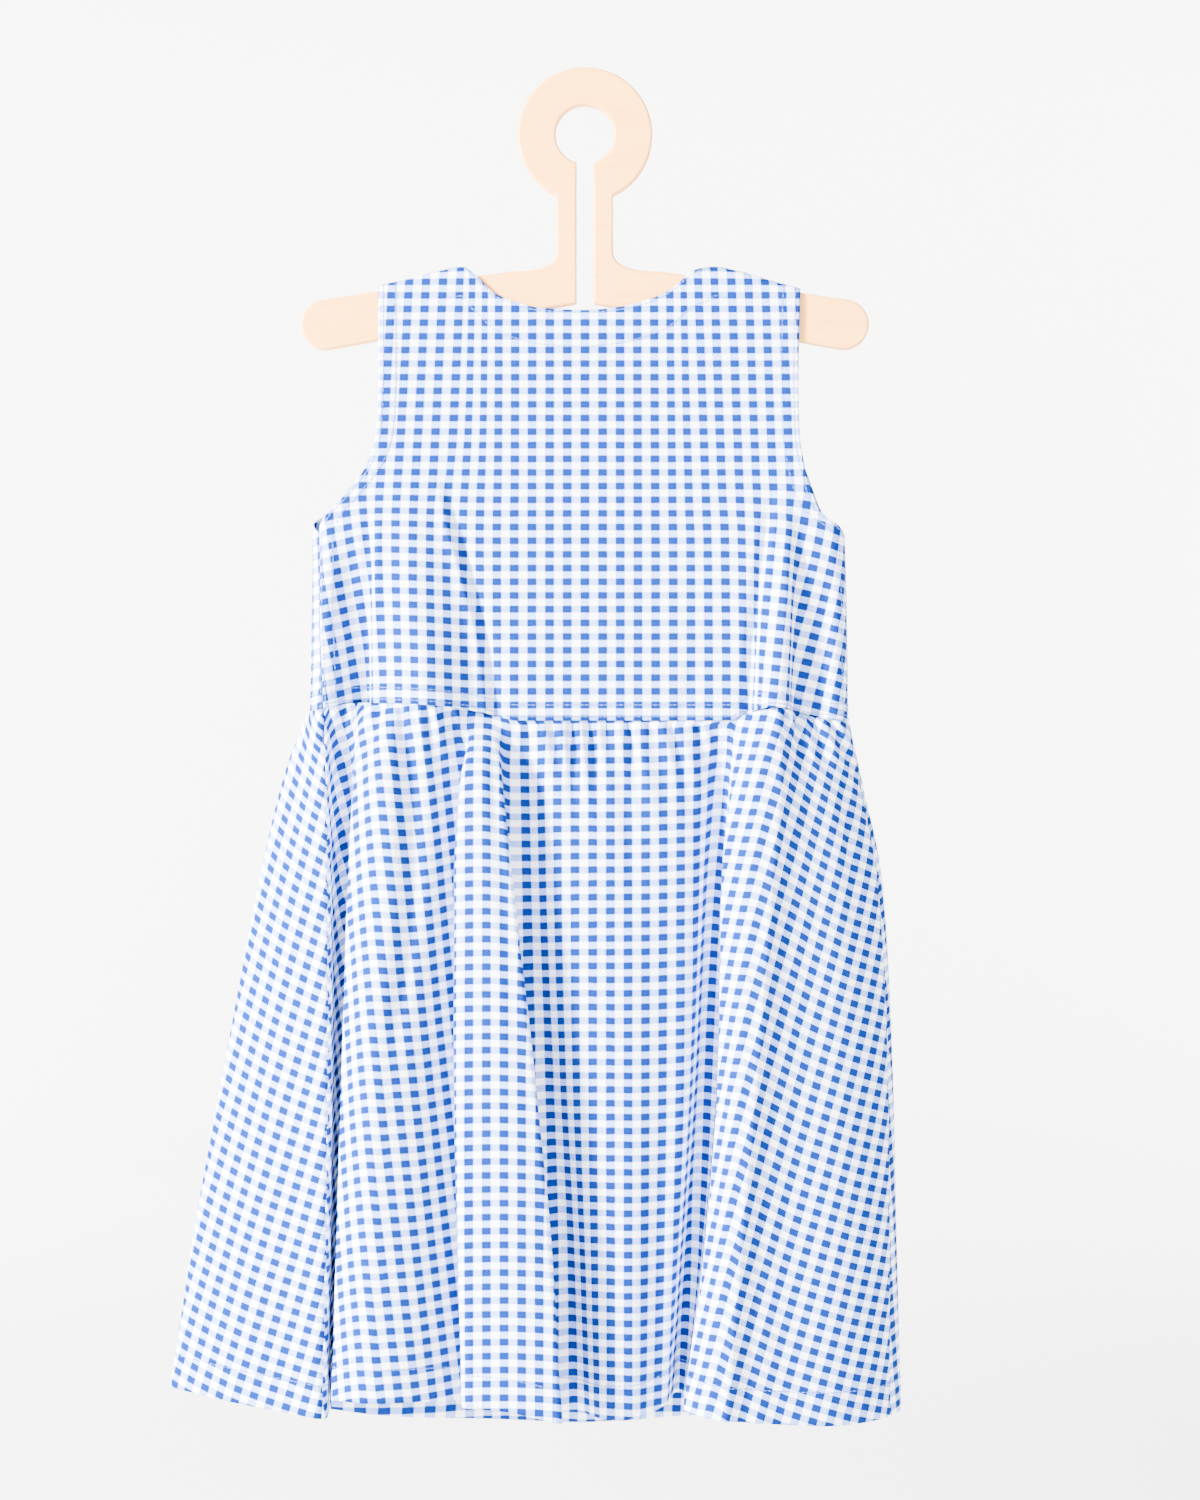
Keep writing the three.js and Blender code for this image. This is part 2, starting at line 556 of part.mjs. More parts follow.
function hangerShape() {
  const centre = -RING_HOLE;
  const slotAngle = Math.asin(SLOT_HALF / RING_HOLE);
  const neckAngle = Math.asin(NECK_HALF / RING_OUTER);
  const endTop = ARM_END_Z + ARM_END_RADIUS * Math.cos(ARM_TOP_TILT);
  const endBottom = ARM_END_Z - ARM_END_RADIUS * Math.cos(ARM_BOTTOM_TILT);
  const down = -Math.PI / 2;
  const shape = new THREE.Shape();
  shape.moveTo(SLOT_HALF, SLOT_END);
  shape.lineTo(ARM_END_X - ARM_END_RADIUS * Math.sin(ARM_BOTTOM_TILT), endBottom);
  shape.absarc(ARM_END_X, ARM_END_Z, ARM_END_RADIUS, down - ARM_BOTTOM_TILT, -down - ARM_TOP_TILT, false);
  shape.lineTo(ARM_FOOT_X, ARM_FOOT_Z);
  shape.quadraticCurveTo(NECK_HALF, NECK_FOOT - FILLET, NECK_HALF, NECK_FOOT + FILLET);
  shape.absarc(0, centre, RING_OUTER, down + neckAngle, 3 * -down - neckAngle, false);
  shape.lineTo(-NECK_HALF, NECK_FOOT + FILLET);
  shape.quadraticCurveTo(-NECK_HALF, NECK_FOOT - FILLET, -ARM_FOOT_X, ARM_FOOT_Z);
  shape.lineTo(-ARM_END_X + ARM_END_RADIUS * Math.sin(ARM_TOP_TILT), endTop);
  shape.absarc(-ARM_END_X, ARM_END_Z, ARM_END_RADIUS, -down + ARM_TOP_TILT, 3 * -down + ARM_BOTTOM_TILT, false);
  shape.lineTo(-SLOT_HALF, SLOT_END);
  shape.absarc(0, centre, RING_HOLE, 3 * -down - slotAngle, down + slotAngle, true);
  return shape;
}

function hangerGeometry() {
  const plate = new THREE.ExtrudeGeometry(hangerShape(), {
    depth: PLATE - 2 * PLATE_EDGE,
    bevelEnabled: true,
    bevelThickness: PLATE_EDGE,
    bevelSize: PLATE_EDGE,
    bevelOffset: -PLATE_EDGE,
    bevelSegments: 1,
    curveSegments: 12,
  });
  plate.translate(0, 0, PLATE_EDGE - PLATE / 2);
  plate.rotateX(Math.PI / 2);
  plate.deleteAttribute("normal");
  plate.deleteAttribute("uv");
  return mergeVertices(plate, 1e-3);
}

// The object

const dress = new THREE.Group();

function addPiece(name, geometry, colour, roughness) {
  const material = new THREE.MeshStandardMaterial({ color: colour, roughness, metalness: 0 });
  const mesh = new THREE.Mesh(geometry, material);
  mesh.name = name;
  dress.add(mesh);
}

const backColumns = skirtColumns(LEFT_SEAM_LINE, RIGHT_SEAM_LINE, BACK_SPACING);
const roundTheFront = SKIRT_LINES.length + LEFT_SEAM_LINE;
const frontColumns = skirtColumns(RIGHT_SEAM_LINE, roundTheFront, FRONT_SPACING);

addPiece("hanger", hangerGeometry(), BIRCH, 0.55);
addPiece("bodice_back", bodicePanel(BACK, 8, 24), GINGHAM_BLUE, 0.9);
addPiece("bodice_front", bodicePanel(FRONT, 6, 20), GINGHAM_BLUE, 0.9);
addPiece("skirt_back", skirtPanel(BACK, backColumns, BACK_ROWS, BACK_GATHERS), GINGHAM_BLUE, 0.9);
addPiece("skirt_front", skirtPanel(FRONT, frontColumns, FRONT_ROWS, FRONT_GATHERS), GINGHAM_BLUE, 0.9);

export default dress;
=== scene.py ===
import bpy
import numpy as np
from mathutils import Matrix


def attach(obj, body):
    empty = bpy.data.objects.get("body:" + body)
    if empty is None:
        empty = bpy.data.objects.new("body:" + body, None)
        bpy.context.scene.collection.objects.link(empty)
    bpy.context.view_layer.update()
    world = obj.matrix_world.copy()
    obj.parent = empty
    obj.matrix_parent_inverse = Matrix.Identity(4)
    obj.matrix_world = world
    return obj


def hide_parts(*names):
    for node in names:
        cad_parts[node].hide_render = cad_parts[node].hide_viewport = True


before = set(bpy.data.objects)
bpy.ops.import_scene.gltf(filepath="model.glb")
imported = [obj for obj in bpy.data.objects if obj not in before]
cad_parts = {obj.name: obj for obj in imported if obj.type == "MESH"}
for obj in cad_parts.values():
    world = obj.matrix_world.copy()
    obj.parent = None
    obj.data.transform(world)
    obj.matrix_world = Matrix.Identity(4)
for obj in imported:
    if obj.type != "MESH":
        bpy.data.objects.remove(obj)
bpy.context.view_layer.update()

MM = 0.001


# A child's sleeveless gingham sundress on a flat plywood hanger, seen from the dress's back.
# Sizes in the tables are millimetres; +Z is up and the viewer is on the -Y side.


# Hanger: a flat plate sawn from birch plywood, with a ring to hang it by and a slot below the
# ring's hole. Its edges are sanded round and it is left with a clear matt finish.

PLATE = 8.0
PLATE_EDGE = 1.4
RING_CENTRE = -17.0
RING_OUTER = 39.0
RING_HOLE = 17.0
SLOT_HALF = 4.8
NECK_HALF = 16.3
NECK_FOOT = -90.5
FILLET = 6.0
ARM_FOOT = (43.5, -96.3)
SLOT_START = -50.0
SLOT_END = -115.0
SLOT_CORNER = 1.5
SLOT_CORNER_DIP = 0.2
ARM_END = (150.0, -127.0)
ARM_END_RADIUS = 14.5
ARM_TOP_TILT = 0.1
ARM_BOTTOM_TILT = 0.16


def mix(a, b, t):
    """The value a share t of the way from a to b."""
    return a + (b - a) * t


def arc(centre, radius, start, end, count):
    """Points of an arc from one angle to another."""
    turns = np.linspace(start, end, count)
    return [(centre[0] + radius * np.cos(a), centre[1] + radius * np.sin(a)) for a in turns]


def bend(start, corner, end, count):
    """Points of a quadratic curve, without its first."""
    ts = np.linspace(0, 1, count + 1)[1:]
    a, b, c = (np.array(p) for p in (start, corner, end))
    return [tuple(a * (1 - t) ** 2 + 2 * b * t * (1 - t) + c * t * t) for t in ts]


def hanger_half():
    """The right half of the outline, from the slot's top up round the arm to the ring's top."""
    slot_turn = np.arcsin(SLOT_HALF / RING_HOLE)
    neck_turn = np.arcsin(NECK_HALF / RING_OUTER)
    down = -np.pi / 2
    low, high = down - ARM_BOTTOM_TILT, -down - ARM_TOP_TILT
    points = arc((0, RING_CENTRE), RING_HOLE, -down, down + slot_turn, 40)
    corner_start = (SLOT_HALF, SLOT_END + SLOT_CORNER)
    corner_end = (SLOT_HALF + SLOT_CORNER, SLOT_END - SLOT_CORNER_DIP)
    points += [(SLOT_HALF, z) for z in np.linspace(SLOT_START, corner_start[1], 8)]
    points += bend(corner_start, (SLOT_HALF, SLOT_END), corner_end, 4)
    points += arc(ARM_END, ARM_END_RADIUS, low, high, 36)
    points += [ARM_FOOT]
    points += bend(ARM_FOOT, (NECK_HALF, NECK_FOOT - FILLET), (NECK_HALF, NECK_FOOT + FILLET), 14)
    points += arc((0, RING_CENTRE), RING_OUTER, down + neck_turn, -down, 64)
    return points


def plate_mesh(name, outline, thickness, edge, steps):
    """A plate between two copies of an outline, its edges rounded over by edge."""
    points = np.array(outline)
    before, after = np.roll(points, 1, 0) - points, np.roll(points, -1, 0) - points
    before /= np.linalg.norm(before, axis=1, keepdims=True)
    after /= np.linalg.norm(after, axis=1, keepdims=True)
    tangent = after - before
    tangent /= np.linalg.norm(tangent, axis=1, keepdims=True)
    inward = np.stack([-tangent[:, 1], tangent[:, 0]], 1)
    turns = np.linspace(0, np.pi / 2, steps + 1)
    rings = [(thickness / 2 - edge * (1 - np.sin(a)), edge * (1 - np.cos(a))) for a in turns]
    levels = [(-y, inset) for y, inset in reversed(rings)] + rings
    vertices = []
    for y, inset in levels:
        flat = points + inward * inset
        vertices += [(x * MM, y * MM, z * MM) for x, z in flat]
    count = len(points)
    faces = [tuple(range(count))]
    last = (len(levels) - 1) * count
    faces.append(tuple(last + i for i in range(count - 1, -1, -1)))
    for ring in range(len(levels) - 1):
        for i in range(count):
            j = (i + 1) % count
            a, b = ring * count + i, ring * count + j
            faces.append((a, a + count, b + count, b))
    mesh = bpy.data.meshes.new(name)
    mesh.from_pydata(vertices, [], faces)
    mesh.update()
    smooth = np.ones(len(mesh.polygons), bool)
    smooth[:2] = False
    mesh.polygons.foreach_set("use_smooth", smooth)
    return mesh


def colour(code):
    """A linear colour from an sRGB hex code."""
    parts = [int(code[i : i + 2], 16) / 255 for i in (1, 3, 5)]
    return tuple(c / 12.92 if c <= 0.04045 else ((c + 0.055) / 1.055) ** 2.4 for c in parts) + (1.0,)


def add_node(tree, kind, inputs=None, **settings):
    """Adds a node with its settings; each input is a value, or an output socket to link."""
    node = tree.nodes.new(kind)
    for key, value in settings.items():
        setattr(node, key, value)
    for key, value in (inputs or {}).items():
        if isinstance(value, bpy.types.NodeSocket):
            tree.links.new(value, node.inputs[key])
        else:
            node.inputs[key].default_value = value
    return node


def new_material(name):
    """An empty node material, with its Principled BSDF."""
    material = bpy.data.materials.new(name)
    material.use_nodes = True
    tree = material.node_tree
    return material, tree, tree.nodes["Principled BSDF"]


def add_object(name, mesh, *materials):
    """A mesh as an object at the origin, with its materials."""
    obj = bpy.data.objects.new(name, mesh)
    bpy.context.scene.collection.objects.link(obj)
    for material in materials:
        mesh.materials.append(material)
    return obj


# Pale rotary-cut birch: faint grain along the arms, finer darker fibres and short brown flecks.
birch, tree, shader = new_material("birch plywood, clear matt finish")
place = add_node(tree, "ShaderNodeTexCoord").outputs["Object"]
along = add_node(tree, "ShaderNodeMapping", {"Vector": place, "Scale": (14.0, 60.0, 330.0)}).outputs[0]
grain = add_node(tree, "ShaderNodeTexNoise", {"Vector": along, "Scale": 1.0, "Detail": 4.0, "Roughness": 0.6})
fine = add_node(tree, "ShaderNodeMapping", {"Vector": place, "Scale": (90.0, 300.0, 2200.0)}).outputs[0]
fibre = add_node(tree, "ShaderNodeTexNoise", {"Vector": fine, "Scale": 1.0, "Detail": 2.0}).outputs[0]
wood = add_node(
    tree,
    "ShaderNodeMix",
    {"Factor": grain.outputs[0], "A": colour("#DD9145"), "B": colour("#F6B35F")},
    data_type="RGBA",
).outputs["Result"]
fibre_dark = add_node(
    tree,
    "ShaderNodeMapRange",
    {"Value": fibre, "From Min": 0.56, "From Max": 0.75, "To Max": 0.3},
).outputs[0]
wood = add_node(
    tree,
    "ShaderNodeMix",
    {"Factor": fibre_dark, "A": wood, "B": colour("#CF9858")},
    data_type="RGBA",
).outputs["Result"]
sparse = add_node(tree, "ShaderNodeMapping", {"Vector": place, "Scale": (28.0, 28.0, 95.0)}).outputs[0]
fleck = add_node(tree, "ShaderNodeTexVoronoi", {"Vector": sparse, "Scale": 1.0}).outputs["Distance"]
fleck_dark = add_node(
    tree,
    "ShaderNodeMapRange",
    {"Value": fleck, "From Min": 0.13, "From Max": 0.04, "To Max": 0.55},
).outputs[0]
wood = add_node(
    tree,
    "ShaderNodeMix",
    {"Factor": fleck_dark, "A": wood, "B": colour("#B98A5E")},
    data_type="RGBA",
).outputs["Result"]
tree.links.new(wood, shader.inputs["Base Color"])
shader.inputs["Roughness"].default_value = 0.5
shader.inputs["Specular IOR Level"].default_value = 0.35
grain_bump = add_node(tree, "ShaderNodeBump", {"Height": fibre, "Strength": 0.25, "Distance": 0.0002})
tree.links.new(grain_bump.outputs[0], shader.inputs["Normal"])

half = hanger_half()
outline = half + [(-x, z) for x, z in reversed(half[1:-1])]
hanger = add_object("plywood_hanger", plate_mesh("hanger", outline, PLATE, PLATE_EDGE, steps=4), birch)
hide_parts("hanger")
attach(hanger, "root")


# Bodice back: one flat-cut panel of gingham cotton, the side that the photo shows. It hangs over
# the hanger's arms, its neck and armholes are turned and topstitched, and it meets the front panel
# at the side seams.

CLOTH = 0.55
WAIST_GAP = 0.22
SHOULDER_ROUND = 5.9
WAIST_LEVEL = -356.7
# Shares of the panel's height: where the side seam ends, and the curve of the armhole above it
UNDERARM = 0.41
ARMHOLE_CURVE = 0.2
# The share of that curve in which the edge leaves the side seam
SEAM_LEAVE = 0.35
NECK_SPAN = (-70.0, 74.0)
# The cloth's outer face before its folds, inside the panel's form, and the thread on it
BODICE_INSET = 0.35
THREAD_RAISED = 0.15
# Rows of stitches, by their distance from the edge
ARMHOLE_ROWS = (3.0, 10.3)
SIDE_ROWS = (1.5, 8.0)
NECK_ROWS = (1.6, 21.0)
WAIST_ROWS = (2.3, 9.0)


def table(columns, *rows):
    """Rows of values as dictionaries, each value under its column's name."""
    return [dict(zip(columns.split(), row)) for row in rows]


SHOULDERS = {
    "x": (-130, -119.5, -70, 0, 75, 124.7, 135),
    "z": (-106, -104, -93, -90, -93, -105.6, -108),
}
BODY_SIZES = {
    "z": (-85, -140, -200, -250, -300, -365),
    "centre": (-3.5, -3.5, -3.5, -3.5, -3.5, -3.5),
    "half": (154, 154, 154, 154.5, 155.5, 156.5),
    "depth": (5.9, 5.9, 8.5, 10.5, 11, 11),
}
BACK_NECK = {
    "x": (-70, -61, -52.8, -42, -25.5, 0, 20, 36, 49.3, 64, 74),
    "z": (-93, -101, -109, -113.7, -117.8, -119, -117.2, -113.2, -107.3, -95.5, -93),
}
BACK_WAIST = {
    "x": (-175, -160, -126, -89, -70, -56, -38, 82, 95, 107, 118, 130, 151, 175),
    "z": (-352, -351, -346.5, -348, -350, -353, -356.7, -356.7, -352.4, -349, -350.5, -354.5, -356, -356),
}
ARMHOLE_LEFT = {
    "z": (-249.7, -241, -228, -213, -203, -190, -165, -104),
    "x": (-153.5, -149, -138.5, -127, -123, -120.6, -119.5, -119.5),
}
ARMHOLE_RIGHT = {
    "z": (-254, -247, -238, -228, -212, -191, -165, -105),
    "x": (151, 144, 136.3, 131.5, 127, 124, 123.5, 124.7),
}
# Each ridge (rise above 0) or groove (below 0) starts at top and grows on the way to the waist
BACK_FOLDS = table(
    "top x_top x_waist width rise",
    (-185, -108, -90, 21, 12),  # left tube
    (-235, -128, -126, 9, -4.5),  # left valley
    (-215, -80, -54, 7, -3),  # left drag fold
    (-215, 109, 94, 6, -3.5),  # right fold edge
    (-200, 122, 107, 13, 9),  # right strip
    (-250, 136, 130, 8, -2.5),  # right hollow
)


def smooth_curve(xs, ys):
    """A curve through points whose cubic pieces never overshoot, as a function of an array."""
    xs, ys = np.array(xs, float), np.array(ys, float)
    if xs[0] > xs[-1]:
        xs, ys = xs[::-1], ys[::-1]
    chords = np.diff(ys) / np.diff(xs)
    before, after = chords[:-1], chords[1:]
    rising = before * after > 0
    slopes = np.zeros(len(xs))
    slopes[0], slopes[-1] = chords[0], chords[-1]
    slopes[1:-1] = np.where(rising, 2 * before * after / np.where(rising, before + after, 1), 0)

    def at(x):
        x = np.asarray(x, float)
        i = np.clip(np.searchsorted(xs, x) - 1, 0, len(xs) - 2)
        width = xs[i + 1] - xs[i]
        t = np.clip((x - xs[i]) / width, 0, 1)
        rest = 1 - t
        ends = ys[i] * rest**2 * (1 + 2 * t) + ys[i + 1] * t**2 * (3 - 2 * t)
        return ends + width * t * rest * (slopes[i] * rest - slopes[i + 1] * t)

    return at


def smooth_table(curve, given, wanted):
    """A smooth curve from one row of a table to another."""
    return smooth_curve(curve[given], curve[wanted])


body_centre = smooth_table(BODY_SIZES, "z", "centre")
body_half = smooth_table(BODY_SIZES, "z", "half")
body_depth = smooth_table(BODY_SIZES, "z", "depth")
shoulder_top = smooth_table(SHOULDERS, "x", "z")

# The panels' two ends, from the side seam's foot up the armhole to the shoulder
LEFT_END = {"foot": -160, "top": -119.5, "waist": 0.15, "underarm": 0.6}
LEFT_END["armhole"] = smooth_table(ARMHOLE_LEFT, "z", "x")
RIGHT_END = {"foot": 153, "top": 124.7, "waist": 1.44, "underarm": 1.44}
RIGHT_END["armhole"] = smooth_table(ARMHOLE_RIGHT, "z", "x")

# Creases sharper than the folds, at x on the way from top to foot: a trough (or a ridge, below 0),
# and a lip on its left (-1) or right (1)
BACK_CREASES = table(
    "x top foot trough width lip lip_side",
    ((-124, -125, -126, -127), -225, -347, 4.6, 3.4, 3.0, 1),
    ((-135, -135, -134, -134), -240, -352, 4.4, 7.0, 0.0, 1),
    ((-149, -149.5, -150), -262, -352, -2.6, 6.0, 0.0, 1),
    ((-83, -76, -66, -57, -53), -205, -352, 2.8, 3.6, 3.2, -1),
    ((111, 105, 100, 96, 94), -212, -350, 3.2, 3.0, 2.6, 1),
    ((124, 124, 124, 123), -225, -352, 4.4, 6.0, 2.0, -1),
    ((141, 138, 135), -262, -350, 1.8, 5.0, 0.8, 1),
    ((-98, -99, -97), -300, -346, 1.2, 3.4, 0.5, 1),
    ((62, 60, 57), -318, -350, 1.0, 4.0, 0.4, -1),
)
# The heights between which the rows start to tilt, and below which the straight grain leans
TILT_LEVELS = (-205, -262)
LEAN_LEVEL = -225
# Where the straight grain turns on the way across, from the middle out, and how far it leans
BACK_TURNS = [
    {"from": -119, "to": -130, "lean": -7},
    {"from": 96, "to": 103, "lean": 5},
    {"from": 116, "to": 122, "lean": 5},
]
BACK_TILTS = {
    "x": (-160, -132, -122, -110, -72, -55, 80, 98, 116, 124, 160),
    "degrees": (-17, -15, -2, 2, 4, 0, 0, 7, 9, 16, 17),
}

BACK = {
    "side": 1,
    "folds": BACK_FOLDS,
    "neck": smooth_table(BACK_NECK, "x", "z"),
    "waist": smooth_table(BACK_WAIST, "x", "z"),
    "armhole_shift": 0,
    "creases": BACK_CREASES,
    "turns": BACK_TURNS,
    "tilts": BACK_TILTS,
}


def smoothstep(x, low, high):
    """0 at low, 1 at high and a smooth step between; low may be above high."""
    t = np.clip((x - low) / (high - low), 0, 1)
    return t * t * (3 - 2 * t)


def fold_rise(folds, x, z):
    """A fold's rise at a place on its panel: a soft bump that grows on the way to the waist."""
    rise = np.zeros(np.broadcast(x, z).shape)
    for fold in folds:
        share = np.clip((fold["top"] - z) / (fold["top"] - WAIST_LEVEL), 0, 1)
        away = (x - mix(fold["x_top"], fold["x_waist"], share)) / fold["width"]
        rise += fold["rise"] * np.sin(share * np.pi / 2) ** 1.5 * np.exp(-away * away)
    return rise


def body_point(around, z, panel):
    """x and out of a point at a height; around is measured along the cloth from the middle."""
    depth = body_depth(z)
    flat = body_half(z) - depth
    turn = np.maximum(np.abs(around) - flat, 0) / depth
    away = np.sign(around) * (np.minimum(np.abs(around), flat) + depth * np.sin(turn))
    x = body_centre(z) + away
    rise = fold_rise(panel["folds"], x, z) * np.maximum(np.cos(turn), 0)
    return x, panel["side"] * (depth * np.cos(turn) + rise)


def around_at(x, z):
    """How far round the body a point of a given x lies, at a height."""
    depth = body_depth(z)
    flat = body_half(z) - depth
    away = x - body_centre(z)
    beyond = np.clip((np.abs(away) - flat) / depth, 0, 1)
    return np.sign(away) * (np.minimum(np.abs(away), flat) + depth * np.arcsin(beyond))


def way_down(x, z):
    """The way down the cloth from the top of the shoulder: over the arm, then straight down."""
    drop = np.maximum(shoulder_top(x) - z, 0)
    over = SHOULDER_ROUND * np.arccos(1 - np.minimum(drop, SHOULDER_ROUND) / SHOULDER_ROUND)
    return np.where(drop < SHOULDER_ROUND, over, drop + SHOULDER_ROUND * (np.pi / 2 - 1))


def over_shoulder(x, way):
    """The height after such a way, and the share of the body's depth that is reached there."""
    turn = np.minimum(way / SHOULDER_ROUND, np.pi / 2)
    straight = np.maximum(way - SHOULDER_ROUND * np.pi / 2, 0)
    z = shoulder_top(x) - SHOULDER_ROUND * (1 - np.cos(turn)) - straight
    return z, np.sin(turn)


def edge_around(end, panel, v):
    """The panel's edge at a share of its height: the side seam, then the armhole."""
    sign = np.sign(end["foot"])
    z = mix(panel["waist"](end["foot"]), shoulder_top(end["top"]), v)
    depth = body_depth(z)
    angle = mix(end["waist"], end["underarm"], np.minimum(v / UNDERARM, 1))
    turn = angle if panel["side"] > 0 else np.pi - angle
    seam = sign * (body_half(z) - depth + depth * turn)
    above = np.clip((v - UNDERARM) / ARMHOLE_CURVE, 0, 1)
    shift = sign * panel["armhole_shift"] * np.sin(np.pi * above)
    leave = np.sin(np.minimum(above / SEAM_LEAVE, 1) * np.pi / 2)
    return mix(seam, around_at(end["armhole"](z) + shift, z), leave)


def bodice_point(panel, u, v):
    """A point of a bodice panel: u runs from left to right, v from waist to shoulder."""
    around = mix(edge_around(LEFT_END, panel, v), edge_around(RIGHT_END, panel, v), u)
    foot = np.zeros_like(v)
    around_foot = mix(edge_around(LEFT_END, panel, foot), edge_around(RIGHT_END, panel, foot), u)
    x_foot, _ = body_point(around_foot, WAIST_LEVEL, panel)
    x_top = mix(LEFT_END["top"], RIGHT_END["top"], u)
    top = np.maximum(way_down(x_top, panel["neck"](x_top)), 0.1)
    bottom = way_down(x_top, panel["waist"](x_foot) + WAIST_GAP)
    z, share = over_shoulder(x_top, mix(bottom, top, v))
    x, out = body_point(around, z, panel)
    return np.stack([x, -out * share, z], -1)


def grid_normals(points):
    """Unit normals of a grid of points, from its columns and rows."""
    normals = np.cross(np.gradient(points, axis=1), np.gradient(points, axis=0))
    return normals / np.linalg.norm(normals, axis=-1, keepdims=True)


def lengths(points, axis):
    """How far along the grid each point is, from the first on that axis."""
    steps = np.linalg.norm(np.diff(points, axis=axis), axis=-1)
    pad = [(1, 0), (0, 0)] if axis == 0 else [(0, 0), (1, 0)]
    return np.cumsum(np.pad(steps, pad), axis=axis)


def cloth_mesh(name, outer, outward, cut):
    """A thin closed shell between a grid of points and a copy inside it. cut is each point's
    place on the flat cloth, kept as the UV map in metres."""
    rows, columns = outer.shape[:2]
    inner = outer - outward * CLOTH
    corner = np.arange(rows * columns).reshape(rows, columns)
    quads = np.stack([corner[:-1, :-1], corner[:-1, 1:], corner[1:, 1:], corner[1:, :-1]], -1)
    quads = quads.reshape(-1, 4)
    middle = (rows // 2, columns // 2)
    across = outer[middle[0], middle[1] + 1] - outer[middle]
    up = outer[middle[0] + 1, middle[1]] - outer[middle]
    if np.dot(np.cross(across, up), outward[middle]) < 0:
        quads = quads[:, ::-1]
    inside = quads[:, ::-1] + rows * columns
    border = np.concatenate([corner[0, :-1], corner[:-1, -1], corner[-1, :0:-1], corner[:0:-1, 0]])
    following = np.roll(border, -1)
    rim = np.stack([following, border, border + rows * columns, following + rows * columns], -1)
    if quads[0][0] != corner[0, 0]:
        rim = rim[:, ::-1]
    faces = np.concatenate([quads, inside, rim])
    vertices = np.concatenate([outer.reshape(-1, 3), inner.reshape(-1, 3)]) * MM
    mesh = bpy.data.meshes.new(name)
    mesh.from_pydata(vertices.tolist(), [], faces.tolist())
    places = np.tile(cut.reshape(-1, 2), (2, 1)) * MM
    uv = mesh.uv_layers.new(name="cut")
    corners = np.empty(len(mesh.loops), int)
    mesh.loops.foreach_get("vertex_index", corners)
    uv.data.foreach_set("uv", places[corners].astype(np.float32).ravel())
    mesh.polygons.foreach_set("use_smooth", np.ones(len(mesh.polygons), bool))
    mesh.update()
    return mesh


# Yarn-dyed twill gingham: solid blue where blue warp meets blue weft, thin diagonal lines where
# only one of them is blue, and white elsewhere.
CHECK_ACROSS = 10.2
CHECK_UP = 7.9
WARP_STRIPE = 5.3
WEFT_STRIPE = 4.05
TWILL_HALF = 0.55

gingham, tree, shader = new_material("gingham cotton twill")
cut_place = add_node(tree, "ShaderNodeUVMap", uv_map="cut").outputs[0]
in_mm = add_node(tree, "ShaderNodeVectorMath", {0: cut_place, "Scale": 1000.0}, operation="SCALE").outputs[0]
wobble = add_node(
    tree,
    "ShaderNodeTexNoise",
    {"Vector": in_mm, "Scale": 0.9, "Detail": 2.0},
    noise_dimensions="2D",
).outputs["Color"]
wobble = add_node(
    tree,
    "ShaderNodeVectorMath",
    {0: wobble, 1: (0.5, 0.5, 0.5)},
    operation="SUBTRACT",
).outputs[0]
wobbled = add_node(
    tree,
    "ShaderNodeVectorMath",
    {0: wobble, 1: (0.5, 0.5, 0.0), 2: in_mm},
    operation="MULTIPLY_ADD",
).outputs[0]
axes = add_node(tree, "ShaderNodeSeparateXYZ", {0: wobbled})
across, up = axes.outputs["X"], axes.outputs["Y"]
diagonal = add_node(tree, "ShaderNodeMath", {0: across, 1: up}, operation="ADD").outputs[0]
twill = add_node(tree, "ShaderNodeMath", {0: diagonal, 1: TWILL_HALF}, operation="PINGPONG").outputs[0]
twill_step = add_node(
    tree,
    "ShaderNodeMapRange",
    {"Value": twill, "From Min": 0.2, "From Max": 0.36},
    interpolation_type="SMOOTHSTEP",
).outputs[0]


def yarn_stripe(position, repeat, width):
    """1 on the blue yarns of one direction; the edges are stepped by the twill."""
    away = add_node(tree, "ShaderNodeMath", {0: position, 1: repeat / 2}, operation="PINGPONG").outputs[0]
    stepped = add_node(
        tree, "ShaderNodeMath", {0: twill, 1: 0.5, 2: away}, operation="MULTIPLY_ADD"
    ).outputs[0]
    return add_node(
        tree,
        "ShaderNodeMapRange",
        {"Value": stepped, "From Min": width / 2 + 0.3, "From Max": width / 2},
        interpolation_type="SMOOTHSTEP",
    ).outputs[0]


warp = yarn_stripe(across, CHECK_ACROSS, WARP_STRIPE)
weft = yarn_stripe(up, CHECK_UP, WEFT_STRIPE)
both = add_node(tree, "ShaderNodeMath", {0: warp, 1: weft}, operation="MULTIPLY").outputs[0]
either = add_node(tree, "ShaderNodeMath", {0: warp, 1: weft}, operation="MAXIMUM").outputs[0]
half_tone = add_node(
    tree,
    "ShaderNodeMix",
    {"Factor": twill_step, "A": colour("#AFC1F1"), "B": colour("#2C60C8")},
    data_type="RGBA",
).outputs["Result"]
mottle = add_node(
    tree, "ShaderNodeTexNoise", {"Vector": in_mm, "Scale": 0.7, "Detail": 3.0}, noise_dimensions="2D"
).outputs[0]
blue = add_node(
    tree,
    "ShaderNodeMix",
    {"Factor": mottle, "A": colour("#011B58"), "B": colour("#04266E")},
    data_type="RGBA",
).outputs["Result"]
checked = add_node(
    tree,
    "ShaderNodeMix",
    {"Factor": either, "A": colour("#F5F6F9"), "B": half_tone},
    data_type="RGBA",
).outputs["Result"]
checked = add_node(
    tree,
    "ShaderNodeMix",
    {"Factor": both, "A": checked, "B": blue},
    data_type="RGBA",
).outputs["Result"]
tree.links.new(checked, shader.inputs["Base Color"])
shader.inputs["Roughness"].default_value = 0.9
